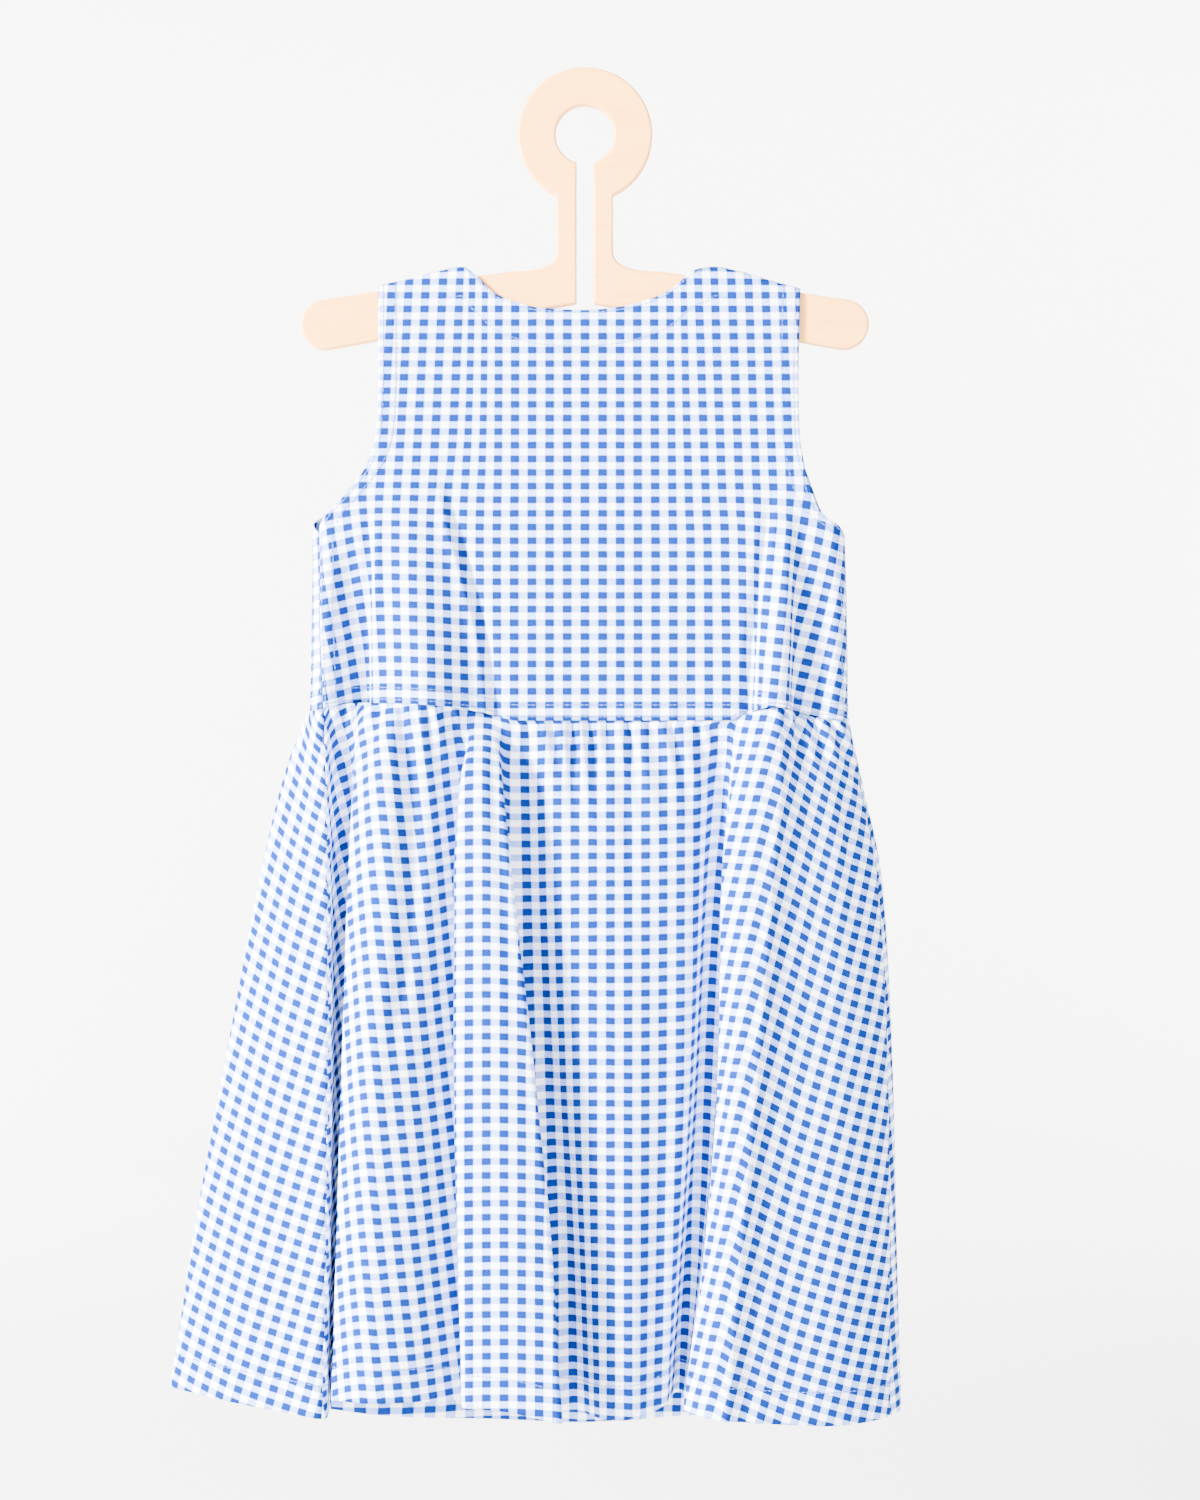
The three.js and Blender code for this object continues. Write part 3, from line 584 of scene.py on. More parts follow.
shader.inputs["Specular IOR Level"].default_value = 0.05
weave_bump = add_node(tree, "ShaderNodeBump", {"Height": twill, "Strength": 0.3, "Distance": 0.0001})
tree.links.new(weave_bump.outputs[0], shader.inputs["Normal"])


def pucker(along, seed, size):
    """Small uneven waves along a stitched edge, as an array of heights."""
    return size * (
        np.sin(along / 1.55 + seed) * 0.4
        + np.sin(along / 2.6 + 2.3 * seed) * 0.6
        + np.sin(along / 5.9 + 4.1 * seed) * 0.5
    )


def stitch_groove(away, width, depth):
    """The dent that a row of stitches pulls into the cloth, at a distance from the row."""
    return np.exp(-((away / width) ** 2)) * depth


def bodice_detail(v, points):
    """How far the cloth stands out of the panel's form at its turned edges and stitching."""
    along_row = lengths(points, 1)
    from_left, from_right = along_row, along_row[:, -1:] - along_row
    up_column = lengths(points, 0)
    from_waist, from_top = up_column, up_column[-1:] - up_column
    x = points[..., 0]
    z = points[..., 2]
    detail = np.zeros(v.shape)
    above = smoothstep(v, UNDERARM, UNDERARM + 0.06)
    for from_end, seed in ((from_left, 1.3), (from_right, 2.9)):
        band = smoothstep(from_end, 11.5, 10.0) * above
        detail += 0.35 * band
        for row in ARMHOLE_ROWS:
            detail -= stitch_groove(from_end - row, 1.1, 0.22 + pucker(z, seed, 0.12)) * above
    in_neck = smoothstep(x, NECK_SPAN[0] - 12, NECK_SPAN[0] + 2)
    in_neck = in_neck * smoothstep(x, NECK_SPAN[1] + 12, NECK_SPAN[1] - 2)
    detail += 0.25 * smoothstep(from_top, 22.5, 20.5) * in_neck
    for row in NECK_ROWS:
        detail -= stitch_groove(from_top - row, 1.1, 0.2 + pucker(x, row, 0.1)) * in_neck
    detail += 0.3 * smoothstep(from_waist, 10.5, 9.0)
    for row in WAIST_ROWS:
        detail -= stitch_groove(from_waist - row, 1.2, 0.25 + pucker(x, row, 0.16))
    above_waist = np.exp(-from_waist / 9.0) * smoothstep(from_waist, 0, 2)
    detail += above_waist * pucker(x, 0.7, 0.45)
    return detail


def crease_height(creases, x, z):
    """Sharper creases on a panel: a trough along a line, and a lip on its left or right."""
    height = np.zeros(x.shape)
    for crease in creases:
        levels = np.linspace(crease["top"], crease["foot"], len(crease["x"]))
        line = smooth_curve(levels, crease["x"])(z)
        grow = smoothstep(z, crease["top"], mix(crease["top"], crease["foot"], 0.35))
        fade = smoothstep(z, crease["foot"] - 14, crease["foot"])
        away = (x - line) / crease["width"]
        lip = crease["lip"] * np.exp(-((away - 1.2 * crease["lip_side"]) ** 2))
        height += (lip - crease["trough"] * np.exp(-away**2)) * grow * fade
    return height


def bodice_cut(panel, points):
    """Each point's place on the flat cloth. The side pieces hang turned from the straight grain,
    and what that adds is hidden in the folds beside them."""
    along_row = lengths(points, 1)
    middle = points.shape[1] // 2
    across = along_row - along_row[:, middle : middle + 1] + points[:, middle : middle + 1, 0]
    x, z = points[..., 0], points[..., 2]
    low = smoothstep(z, *TILT_LEVELS)
    drop = np.maximum(LEAN_LEVEL - z, 0)
    for turn in panel["turns"]:
        beyond = smoothstep(x, turn["from"], turn["to"])
        across += np.tan(np.radians(turn["lean"])) * drop * beyond
    levels = np.linspace(-160, 160, 641)
    tilt = np.interp(levels, panel["tilts"]["x"], panel["tilts"]["degrees"])
    rise = np.cumsum(np.tan(np.radians(tilt))) * (levels[1] - levels[0])
    rise -= np.interp(0, levels, rise)
    return np.stack([across * panel["side"], z + np.interp(x, levels, rise) * low], -1)


def line_at(surface, distance, value, keep):
    """The line on a grid where a distance that changes along each row has a value."""
    line = []
    for points, reach in zip(surface[keep], distance[keep]):
        if reach[0] > reach[-1]:
            points, reach = points[::-1], reach[::-1]
        i = np.clip(np.searchsorted(reach, value), 1, len(reach) - 1)
        t = (value - reach[i - 1]) / (reach[i] - reach[i - 1])
        line.append(mix(points[i - 1], points[i], t))
    return np.array(line)


def bodice_stitch_lines(surface):
    """Two rows along each armhole, the neck, the waist and beside each side seam."""
    from_left, from_waist = lengths(surface, 1), lengths(surface, 0)
    from_right, from_top = from_left[:, -1:] - from_left, from_waist[-1:] - from_waist
    level = np.linspace(0, 1, len(surface))
    top_x = surface[-1, :, 0]
    lines = []
    for from_end in (from_left, from_right):
        lines += [line_at(surface, from_end, row, level > UNDERARM + 0.015) for row in ARMHOLE_ROWS]
        lines += [line_at(surface, from_end, row, level < UNDERARM - 0.01) for row in SIDE_ROWS]
    across = surface.swapaxes(0, 1)
    in_neck = (top_x > NECK_SPAN[0] - 9) & (top_x < NECK_SPAN[1] + 9)
    lines += [line_at(across, from_top.T, row, in_neck) for row in NECK_ROWS]
    lines += [line_at(across, from_waist.T, row, slice(1, -1)) for row in WAIST_ROWS]
    return lines


# Sewing thread: light blue spun polyester, a little glossier than the cloth, its colour uneven
# along the yarn.
thread, tree, shader = new_material("light blue sewing thread")
place = add_node(tree, "ShaderNodeTexCoord").outputs["Object"]
lint = add_node(tree, "ShaderNodeTexNoise", {"Vector": place, "Scale": 900.0, "Detail": 2.0})
thread_colour = add_node(
    tree,
    "ShaderNodeMix",
    {"Factor": lint.outputs[0], "A": colour("#2C4E9E"), "B": colour("#5F82CE")},
    data_type="RGBA",
).outputs["Result"]
tree.links.new(thread_colour, shader.inputs["Base Color"])
fuzz = add_node(tree, "ShaderNodeBump", {"Height": lint.outputs[0], "Strength": 0.4, "Distance": 0.0001})
tree.links.new(fuzz.outputs[0], shader.inputs["Normal"])
shader.inputs["Roughness"].default_value = 0.6
shader.inputs["Specular IOR Level"].default_value = 0.3

STITCH_PITCH = 2.8
STITCH_LENGTH = 2.5
STITCH_THICKNESS = 0.7

stitching = bpy.data.node_groups.new("lockstitch along lines", "GeometryNodeTree")
stitching.interface.new_socket("Lines", in_out="INPUT", socket_type="NodeSocketGeometry")
for title, kind in (
    ("Pitch", "NodeSocketFloat"),
    ("Length", "NodeSocketFloat"),
    ("Thickness", "NodeSocketFloat"),
    ("Seed", "NodeSocketInt"),
    ("Thread", "NodeSocketMaterial"),
):
    stitching.interface.new_socket(title, in_out="INPUT", socket_type=kind)
stitching.interface.new_socket("Stitches", in_out="OUTPUT", socket_type="NodeSocketGeometry")
given = add_node(stitching, "NodeGroupInput").outputs
line = add_node(stitching, "GeometryNodeMeshToCurve", {"Mesh": given["Lines"]}).outputs[0]
spots = add_node(
    stitching,
    "GeometryNodeCurveToPoints",
    {"Curve": line, "Length": given["Pitch"]},
    mode="LENGTH",
)
size = add_node(
    stitching,
    "ShaderNodeCombineXYZ",
    {"X": given["Thickness"], "Y": given["Thickness"], "Z": given["Length"]},
).outputs[0]
ball = add_node(
    stitching,
    "GeometryNodeMeshUVSphere",
    {"Segments": 6, "Rings": 5, "Radius": 0.5},
).outputs["Mesh"]
ball = add_node(stitching, "GeometryNodeSetShadeSmooth", {"Geometry": ball}).outputs[0]
stitch = add_node(stitching, "GeometryNodeTransform", {"Geometry": ball, "Scale": size}).outputs[0]
vary = add_node(
    stitching,
    "FunctionNodeRandomValue",
    {"Min": (0.85, 0.8, 0.88), "Max": (1.1, 1.1, 1.06), "Seed": given["Seed"]},
    data_type="FLOAT_VECTOR",
).outputs[0]
points, turns = spots.outputs["Points"], spots.outputs["Rotation"]
sewn = add_node(
    stitching,
    "GeometryNodeInstanceOnPoints",
    {"Points": points, "Instance": stitch, "Rotation": turns, "Scale": vary},
).outputs[0]
sewn = add_node(stitching, "GeometryNodeRealizeInstances", {"Geometry": sewn}).outputs[0]
sewn = add_node(
    stitching,
    "GeometryNodeSetMaterial",
    {"Geometry": sewn, "Material": given["Thread"]},
).outputs[0]
add_node(stitching, "NodeGroupOutput", {"Stitches": sewn})


def add_stitches(name, lines, seed):
    """Rows of stitches along lines, as a plain mesh."""
    vertices, edges = [], []
    for line in lines:
        start = len(vertices)
        vertices += [tuple(point * MM) for point in line]
        edges += [(i, i + 1) for i in range(start, len(vertices) - 1)]
    mesh = bpy.data.meshes.new(name)
    mesh.from_pydata(vertices, edges, [])
    stitches = add_object(name, mesh)
    modifier = stitches.modifiers.new("stitches", "NODES")
    modifier.node_group = stitching
    values = {
        "Pitch": STITCH_PITCH * MM,
        "Length": STITCH_LENGTH * MM,
        "Thickness": STITCH_THICKNESS * MM,
        "Seed": seed,
        "Thread": thread,
    }
    for socket in stitching.interface.items_tree:
        if socket.name in values:
            modifier[socket.identifier] = values[socket.name]
    evaluated = stitches.evaluated_get(bpy.context.evaluated_depsgraph_get())
    sewn = bpy.data.meshes.new_from_object(evaluated)
    stitches.modifiers.remove(modifier)
    stitches.data = sewn
    return stitches


def bodice_panel(name, panel, columns, rows, seed):
    """A bodice panel and its stitches, as two objects."""
    u = np.linspace(0, 1, columns + 1)[None, :] * np.ones((rows + 1, 1))
    v = np.linspace(0, 1, rows + 1)[:, None] * np.ones((1, columns + 1))
    points = bodice_point(panel, u, v)
    outward = grid_normals(points) * panel["side"]
    detail = bodice_detail(v, points)
    detail += crease_height(panel["creases"], points[..., 0], points[..., 2])
    outer = points + outward * (detail - BODICE_INSET)[..., None]
    mesh = cloth_mesh(name, outer, outward, bodice_cut(panel, points))
    lines = bodice_stitch_lines(outer + outward * THREAD_RAISED)
    return add_object(name + "_cloth", mesh, gingham), add_stitches(name + "_stitches", lines, seed)


bodice_back, bodice_back_stitches = bodice_panel(
    "bodice_back", BACK, columns=170, rows=150, seed=3
)
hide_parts("bodice_back")
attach(bodice_back, "root")
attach(bodice_back_stitches, "root")


# Bodice front: the panel on the wall side, cut like the back but with a deeper scooped neck. Its
# inside shows through the armholes.

FRONT_NECK = {
    "x": (-70, -61, -55, -47, -30, 2, 34, 51, 59, 65, 74),
    "z": (-93, -107, -130, -165, -194, -208, -194, -165, -130, -107, -93),
}
FRONT_WAIST = {"x": (-175, -160, -70, 60, 151, 175), "z": (-352, -351, -355, -357, -356, -356)}
FRONT_FOLDS = table(
    "top x_top x_waist width rise",
    (-205, -112, -98, 24, 6),  # left roll
    (-250, -12, -24, 30, -3),  # middle hollow
    (-215, 114, 96, 22, 6),  # right roll
    (-240, 76, 66, 8, -2),  # right crease
)
FRONT_CREASES = table(
    "x top foot trough width lip lip_side",
    ((128, 126, 122, 119), -235, -350, 2.4, 4.2, 1.5, -1),
    ((86, 80, 74, 71), -225, -352, 1.5, 4.5, 1.4, 1),
    ((-76, -72, -66), -240, -350, 1.4, 5.0, 1.2, -1),
    ((-133, -131, -127), -245, -350, 2.2, 4.0, 1.6, 1),
)
FRONT_TURNS = [{"from": 116, "to": 126, "lean": 6}, {"from": -122, "to": -132, "lean": -6}]
FRONT_TILTS = {
    "x": (-160, -130, -120, -70, 70, 116, 128, 160),
    "degrees": (-15, -13, -3, 0, 0, 3, 13, 15),
}
FRONT = {
    "side": -1,
    "folds": FRONT_FOLDS,
    "neck": smooth_table(FRONT_NECK, "x", "z"),
    "waist": smooth_table(FRONT_WAIST, "x", "z"),
    "armhole_shift": 3,
    "creases": FRONT_CREASES,
    "turns": FRONT_TURNS,
    "tilts": FRONT_TILTS,
}

bodice_front, bodice_front_stitches = bodice_panel(
    "bodice_front", FRONT, columns=150, rows=130, seed=5
)
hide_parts("bodice_front")
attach(bodice_front, "root")
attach(bodice_front_stitches, "root")


# Skirt back: a flared panel gathered into the waist seam. It hangs in a few deep folds, and its
# hem is turned up 19 mm and stitched once.

SKIRT_LEVELS = (0, 0.1, 0.25, 0.5, 0.75, 1)
# Each fold line's x at the six levels, how far out it is at the five below the waist, and the
# hem's height on it
SKIRT_LINES = table(
    "line x out hem",
    ("left edge", (-160, -176, -190, -209, -227, -242), (-4, -6, -8, -8, -8), -744),
    ("left outer", (-158.5, -165.5, -174, -186, -198, -208), (5, 6, 7, 8, 9), -749),
    ("left inner", (-155, -156, -158, -163, -168, -174), (12, 13, 16, 17, 17), -754),
    ("left seam", (-150.6, -148.5, -147.5, -147, -148, -150), (13.5, 15, 20, 22, 22), -757),
    ("recess left", (-146.5, -145.9, -145.3, -144.8, -146, -148), (5, 1, 0, 0, 1), -756),
    ("recess", (-141, -140.5, -140.5, -141, -143, -146), (0, -6, -9, -9, -7), -754),
    ("recess right", (-133, -134.6, -136.4, -138.2, -140.4, -143.8), (5, 0, 0, 1, 2), -750),
    ("roll edge", (-128, -131.5, -135, -138, -141, -144), (15.5, 18, 22, 23, 22), -746),
    ("roll crest", (-114, -116.5, -119, -122, -124, -127), (29, 32, 38, 38, 36), -745),
    ("roll furrow", (-102, -100, -97, -107, -112, -114), (25.5, 29, 36, 38, 37), -745),
    ("roll back", (-89, -87.5, -87, -91, -94, -96), (24.5, 26, 30, 33, 33), -745),
    ("tuck inward", (-80, -77, -75, -74, -73, -71), (17.5, 17, 19, 21, 21), -746),
    ("tuck inside", (-70, -67.5, -65, -63, -61, -59), (14, 12, 14, 16, 16), -747),
    ("pleat left", (-61, -71, -75, -75, -73, -70), (25.5, 25, 29, 31, 31), -748),
    ("pleat middle", (-55.5, -58.5, -57, -52, -46, -42), (31, 32, 36, 38, 38), -750),
    ("pleat right", (-52, -48, -41.5, -30, -20, -14), (26, 29, 33, 36, 38), -756),
    ("underlay", (-46, -46, -44, -38.5, -31, -25), (16.5, 17, 18, 20, 22), -754),
    ("pleat valley", (-38, -37, -34, -24, -13, -6), (8, 6, 3, 0, -1), -757),
    ("middle left", (-25, -20, -14, -3, 6, 12), (15, 16, 18, 18, 18), -758),
    ("middle", (8, 11, 16, 22, 26, 28), (16.5, 18, 20, 21, 20), -757),
    ("middle right", (45, 45.5, 46, 46, 42, 38), (14.5, 15, 15, 14, 12), -755),
    ("slope", (66, 65.5, 64, 60, 53, 46), (10, 10.5, 10.5, 10, 9), -751),
    ("right valley", (77, 76.5, 73, 69, 62, 53), (2, -3, -8, -10, -10), -748),
    ("valley wall", (83.5, 81.8, 78.8, 76.8, 69, 57.5), (4, 1, -2, -4, -4), -748),
    ("ridge left", (89, 84.5, 79, 77, 70, 57), (17, 19, 20, 21, 20), -751),
    ("ridge crest", (100, 96.5, 92, 86, 79, 67), (27, 29, 33, 35, 34), -753),
    ("ridge right", (114, 112.5, 107, 98.5, 89, 80), (27, 29, 34, 37, 37), -755),
    ("right first", (127, 128, 127, 120, 113, 108), (20, 22, 27, 30, 31), -758),
    ("right second", (140, 144, 147, 147, 145, 143), (14.5, 17, 22, 25, 26), -760),
    ("right third", (149, 156.5, 164, 168, 168, 168), (6.5, 8, 12, 15, 15), -759),
    ("right seam", (152.9, 161, 171, 176, 177, 177), (1.5, 2, 4, 6, 6), -758),
    ("right edge", (152.6, 161.6, 173, 178.5, 181, 184), (-3.5, -5, -6, -7, -8), -757),
    ("front right", (138, 147, 155, 158, 160, 162), (-13, -14, -16, -17, -18), -758),
    ("right hollow", (100, 104, 110, 112, 112, 112), (-13.5, -13, -13, -12, -12), -761),
    ("right fold", (52, 54, 58, 60, 60, 60), (-15.5, -16, -18, -20, -22), -764),
    ("front middle", (2, 2, 2, 4, 6, 8), (-12.5, -13, -13, -13, -13), -766),
    ("left fold", (-50, -51, -52, -54, -55, -56), (-15.5, -16, -19, -21, -22), -766),
    ("left hollow", (-98, -101, -105, -110, -114, -118), (-13.5, -13, -13, -12, -12), -762),
    ("front left", (-137, -143, -150, -160, -172, -182), (-14, -15, -17, -20, -21), -755),
)
LINE_NAMES = [row["line"] for row in SKIRT_LINES]
LEFT_SEAM_LINE = LINE_NAMES.index("left seam")
RIGHT_SEAM_LINE = LINE_NAMES.index("right seam")

# Creases of the gathers below the waist: x at the seam, length, depth, and lean to the right
BACK_GATHERS = table(
    "x length depth lean",
    (-139, 26, 1.2, -3),
    (-118, 22, 1.4, -3),
    (-106, 26, 1.5, 2),
    (-91, 34, 1.8, 4),
    (-79, 20, 1.2, 2),
    (-34, 22, 1.2, 2),
    (-20, 30, 1.6, 3),
    (-8, 40, 1.9, -2),
    (2, 34, 1.8, 2),
    (12, 18, 1.1, 1),
    (24, 44, 2.0, 6),
    (37, 20, 1.2, 4),
    (49, 36, 1.8, 9),
    (64, 24, 1.3, 5),
    (116, 26, 1.5, -1),
    (122, 30, 1.6, 3),
    (131, 24, 1.5, 6),
    (142, 34, 1.5, 9),
)
# Half a gather's width at the seam, and the scale of the depths above
GATHER_WIDTH = 1.7
GATHER_DEPTH = 2.0
# The share of the gathers that turns the check with them
GATHERED_CHECK = 0.3
# The hem's stitches above its edge, the cloth's outer face inside the panel's form, and how far
# the panel reaches up behind the waist seam
HEM_ROW = 19.0
SKIRT_INSET = 0.3
WAIST_TUCK = 0.4
# The grid's columns are evenly spaced at this share of the drop, and its rows crowd to the waist
EVEN_LEVEL = 0.6
ROW_CROWDING = 1.3

# Folds softer than the fold lines: each one's place among them, the shares of the drop where it
# starts and ends, how far it rises or dips, and its width
BACK_PLEATS = table(
    "place top foot rise width",
    (7.0, 0.02, 1.3, 1.2, 3.0),
    (8.95, 0.02, 0.55, -2.2, 5.0),
    (8.4, 0.02, 0.5, 1.0, 5.0),
    (10.6, 0.0, 0.12, -2.4, 3.2),
    (13.3, 0.03, 1.3, 1.0, 2.6),
    (14.95, 0.02, 1.3, 1.6, 2.6),
    (14.5, 0.05, 0.6, -0.8, 4.0),
    (18.5, 0.0, 0.2, -1.6, 4.0),
    (18.85, 0.0, 0.16, -1.2, 3.0),
    (19.4, 0.02, 0.34, -1.7, 5.0),
    (20.0, 0.0, 0.2, -1.2, 5.0),
    (20.7, 0.3, 1.3, 0.8, 6.0),
    (24.1, 0.06, 1.3, 1.2, 3.0),
    (26.0, 0.0, 1.3, 1.7, 3.4),
    (26.4, 0.0, 1.3, -2.0, 6.0),
    (28.4, 0.05, 0.34, -1.3, 3.4),
)


def waist_out(x, panel):
    """How far out the bodice stands at the waist, so that the skirt starts on its form."""
    z = panel["waist"](x)
    return body_point(around_at(x, z), z, panel)[1]


def skirt_knots(share):
    """Every fold line's place at each share of the drop, with the hem's height as z."""
    knots = np.empty((len(share), len(SKIRT_LINES), 3))
    for i, row in enumerate(SKIRT_LINES):
        panel = BACK if 1 <= i <= RIGHT_SEAM_LINE else FRONT
        out = (float(waist_out(row["x"][0], panel)),) + row["out"]
        knots[:, i, 0] = smooth_curve(SKIRT_LEVELS, row["x"])(share)
        knots[:, i, 1] = -smooth_curve(SKIRT_LEVELS, out)(share)
        knots[:, i, 2] = row["hem"]
    return knots


def on_sections(knots, places):
    """Points at the given places on the closed smooth curve through each row of knots."""
    count = knots.shape[1]
    i = np.floor(places).astype(int)
    t = (places - i)[None, :, None]
    p0, p1, p2, p3 = (knots[:, (i + k) % count] for k in (-1, 0, 1, 2))
    sides = ((p0, p1), (p1, p2), (p2, p3))
    d0, d1, d2 = (np.linalg.norm(b - a, axis=2, keepdims=True) ** 0.5 for a, b in sides)
    leave = d1 * ((p1 - p0) / d0 - (p2 - p0) / (d0 + d1) + (p2 - p1) / d1)
    arrive = d1 * ((p2 - p1) / d1 - (p3 - p1) / (d1 + d2) + (p3 - p2) / d2)
    square = -3 * p1 + 3 * p2 - 2 * leave - arrive
    cube = 2 * p1 - 2 * p2 + leave + arrive
    return p1 + leave * t + square * t**2 + cube * t**3


def gather_depth(gathers, x, drop):
    """The gathers' depth at a place along the waist and a drop below it."""
    depth = np.zeros(np.broadcast(x, drop).shape)
    for gather in gathers:
        share = drop / gather["length"]
        away = (x - gather["x"] - gather["lean"] * share) / (GATHER_WIDTH * (1 + 0.9 * share))
        crease = np.exp(-np.abs(away) ** 1.4) - 0.4 * np.exp(-((np.abs(away) - 2.1) ** 2))
        depth += GATHER_DEPTH * gather["depth"] * np.minimum(drop / 2, 1) * np.exp(-(share**2)) * crease
    return depth


def skirt_places(first, last, spacing):
    """Places along the section from one fold line to another, about evenly spaced."""
    fine = np.linspace(first, last, 2000)
    section = on_sections(skirt_knots(np.array([EVEN_LEVEL])), fine)[0]
    way = np.concatenate([[0], np.cumsum(np.linalg.norm(np.diff(section[:, :2], axis=0), axis=1))])
    return np.interp(np.linspace(0, way[-1], int(way[-1] / spacing)), way, fine)


def skirt_grid(panel, places, share, gathers):
    """The panel's points by row and column, dented by its gathers."""
    knots = skirt_knots(share)
    points = on_sections(knots, places)
    waist_x = on_sections(skirt_knots(np.zeros(1)), places)[:, :, 0]
    top = panel["waist"](waist_x) + WAIST_TUCK
    points[..., 2] = mix(top, points[..., 2], share[:, None])
    along = on_sections(knots, places + 0.02) - on_sections(knots, places - 0.02)
    along[..., 2] = 0
    along /= np.linalg.norm(along, axis=-1, keepdims=True)
    outward = np.stack([along[..., 1], -along[..., 0], np.zeros_like(along[..., 0])], -1)
    drop = top - points[..., 2]
    seam_dent = stitch_groove(drop, 2.2, 0.8)
    inward = gather_depth(gathers, waist_x, np.maximum(drop - 0.6, 0)) + seam_dent
    return points - outward * inward[..., None]


def skirt_detail(places, share, points, pleats):
    """How far the cloth stands out of the panel's form at its folds, hem and seams."""
    along, drop = lengths(points, 1), lengths(points, 0)
    from_hem = drop[-1:] - drop
    detail = 0.25 * smoothstep(from_hem, HEM_ROW + 1.5, HEM_ROW - 0.5)
    detail -= stitch_groove(from_hem - HEM_ROW, 1.3, 0.25 + pucker(along, 0.4, 0.16))
    detail += 0.25 * smoothstep(from_hem, 22, 12) * pucker(along * 0.45, 1.9, 0.6)
    for from_end, seed in ((along, 0.8), (along[:, -1:] - along, 2.2)):
        detail -= stitch_groove(from_end, 1.2, 0.5)
        detail += np.exp(-((from_end / 5.0) ** 2)) * pucker(drop * 0.8, seed, 0.25)
    detail += 0.7 * np.exp(-(((drop - 8) / 6) ** 2)) * (1 + pucker(along, 1.1, 0.5))
    for pleat in pleats:
        line = np.array([np.interp(pleat["place"], places, row) for row in along])[:, None]
        grow = smoothstep(share, pleat["top"] - 0.01, pleat["top"] + 0.06)
        fade = smoothstep(share, pleat["foot"], pleat["foot"] - 0.18)
        shape = np.exp(-(((along - line) / pleat["width"]) ** 2))
        detail += pleat["rise"] * (grow * fade)[:, None] * shape
    return detail


def skirt_cut(points, places, grain):
    """Each point's place on the flat cloth. Between two folds the cloth hangs with its grain at a
    lean and its rows at a tilt, and what that adds is hidden in the folds."""
    along, down = lengths(points, 1), lengths(points, 0)
    straight = int(np.argmin(np.abs(places - grain["straight"])))
    across = along - along[:, straight : straight + 1] + along[0, straight]
    shifts = []
    for zone in grain["zones"]:
        column = int(np.argmin(np.abs(places - zone["at"])))
        x = points[:, column, 0] * zone["faces"]
        leaning = x - x[0] + down[:, column] * np.tan(np.radians(zone["lean"]))
        shifts.append(leaning - (across[:, column] - across[0, column]))
    shift = shifts[0][:, None]
    for (low, high), before, after in zip(grain["folds"], shifts, shifts[1:]):
        shift = shift + (after - before)[:, None] * smoothstep(places, low, high)[None, :]
    tilt = np.tan(np.radians(np.interp(places, grain["tilt_places"], grain["tilts"])))
    rise = np.concatenate([[0], np.cumsum((tilt[1:] + tilt[:-1]) / 2 * np.diff(along[len(along) // 2]))])
    return np.stack([across + shift, rise - rise[straight] - down], -1)


# How the grain hangs in each zone between two folds: its lean down to the left on one line, the
# stretches of the fold that hide the change, and the rows' tilt down to the right
BACK_GRAIN = {
    "straight": 19.0,
    "zones": (
        {"at": 5.0, "lean": -14.0, "faces": 1},
        {"at": 9.0, "lean": -7.0, "faces": 1},
        {"at": 14.0, "lean": 0.0, "faces": 1},
        {"at": 19.0, "lean": 0.0, "faces": 1},
        {"at": 27.0, "lean": 15.6, "faces": 1},
    ),
    "folds": ((6.1, 6.95), (11.2, 12.6), (14.95, 16.9), (22.9, 23.9)),
    "tilt_places": (3, 6.5, 8, 11, 12.5, 14, 19, 21.5, 22.5, 24, 27, 30),
    "tilts": (-20, -18, -8, -12, -4, 0, -1, -8, 0, 19, 20, 18),
}


def skirt_panel(name, panel, places, rows, gathers, pleats, grain, seed):
    """A skirt panel and its hem's stitches, as two objects."""
    share = np.linspace(0, 1, rows + 1) ** ROW_CROWDING
    points = skirt_grid(panel, places, share, gathers)
    outward = grid_normals(points)
    middle = rows // 2
    outermost = np.argmax(points[middle, :, 1] * -panel["side"])
    if outward[middle, outermost, 1] * panel["side"] > 0:
        outward = -outward
    detail = skirt_detail(places, share, points, pleats)
    outer = points + outward * (detail - SKIRT_INSET)[..., None]
    plain = skirt_grid(panel, places, share, [])
    cut = skirt_cut(mix(plain, points, GATHERED_CHECK), places, grain)
    cloth = add_object(name + "_cloth", cloth_mesh(name, outer, outward, cut), gingham)
    raised = (outer + outward * THREAD_RAISED).swapaxes(0, 1)
    reach = lengths(raised, 1)
    hem = line_at(raised, reach[:, -1:] - reach, HEM_ROW, slice(None))
    return cloth, add_stitches(name + "_stitches", [hem], seed)


back_places = skirt_places(LEFT_SEAM_LINE, RIGHT_SEAM_LINE, spacing=1.4)
skirt_back, skirt_back_stitches = skirt_panel(
    "skirt_back",
    BACK,
    back_places,
    rows=125,
    gathers=BACK_GATHERS,
    pleats=BACK_PLEATS,
    grain=BACK_GRAIN,
    seed=7,
)
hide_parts("skirt_back")
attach(skirt_back, "root")
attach(skirt_back_stitches, "root")


# Skirt front: the wall-side panel, cut alike. It wraps round the dress's left side into view.

FRONT_GATHERS = table(
    "x length depth lean",
    (-146, 26, 1.3, -7),
    (-128, 34, 1.6, -6),
    (-112, 22, 1.3, -3),
    (-90, 38, 1.8, -4),
    (-74, 24, 1.4, 1),
    (-58, 32, 1.6, -2),
    (-38, 42, 1.9, 0),
    (-24, 20, 1.2, 2),
    (-6, 36, 1.8, -1),
    (14, 26, 1.4, 2),
    (30, 40, 1.8, 3),
    (52, 22, 1.3, 2),
    (70, 34, 1.7, 4),
    (88, 26, 1.4, 5),
    (108, 38, 1.7, 6),
    (126, 24, 1.4, 8),
)

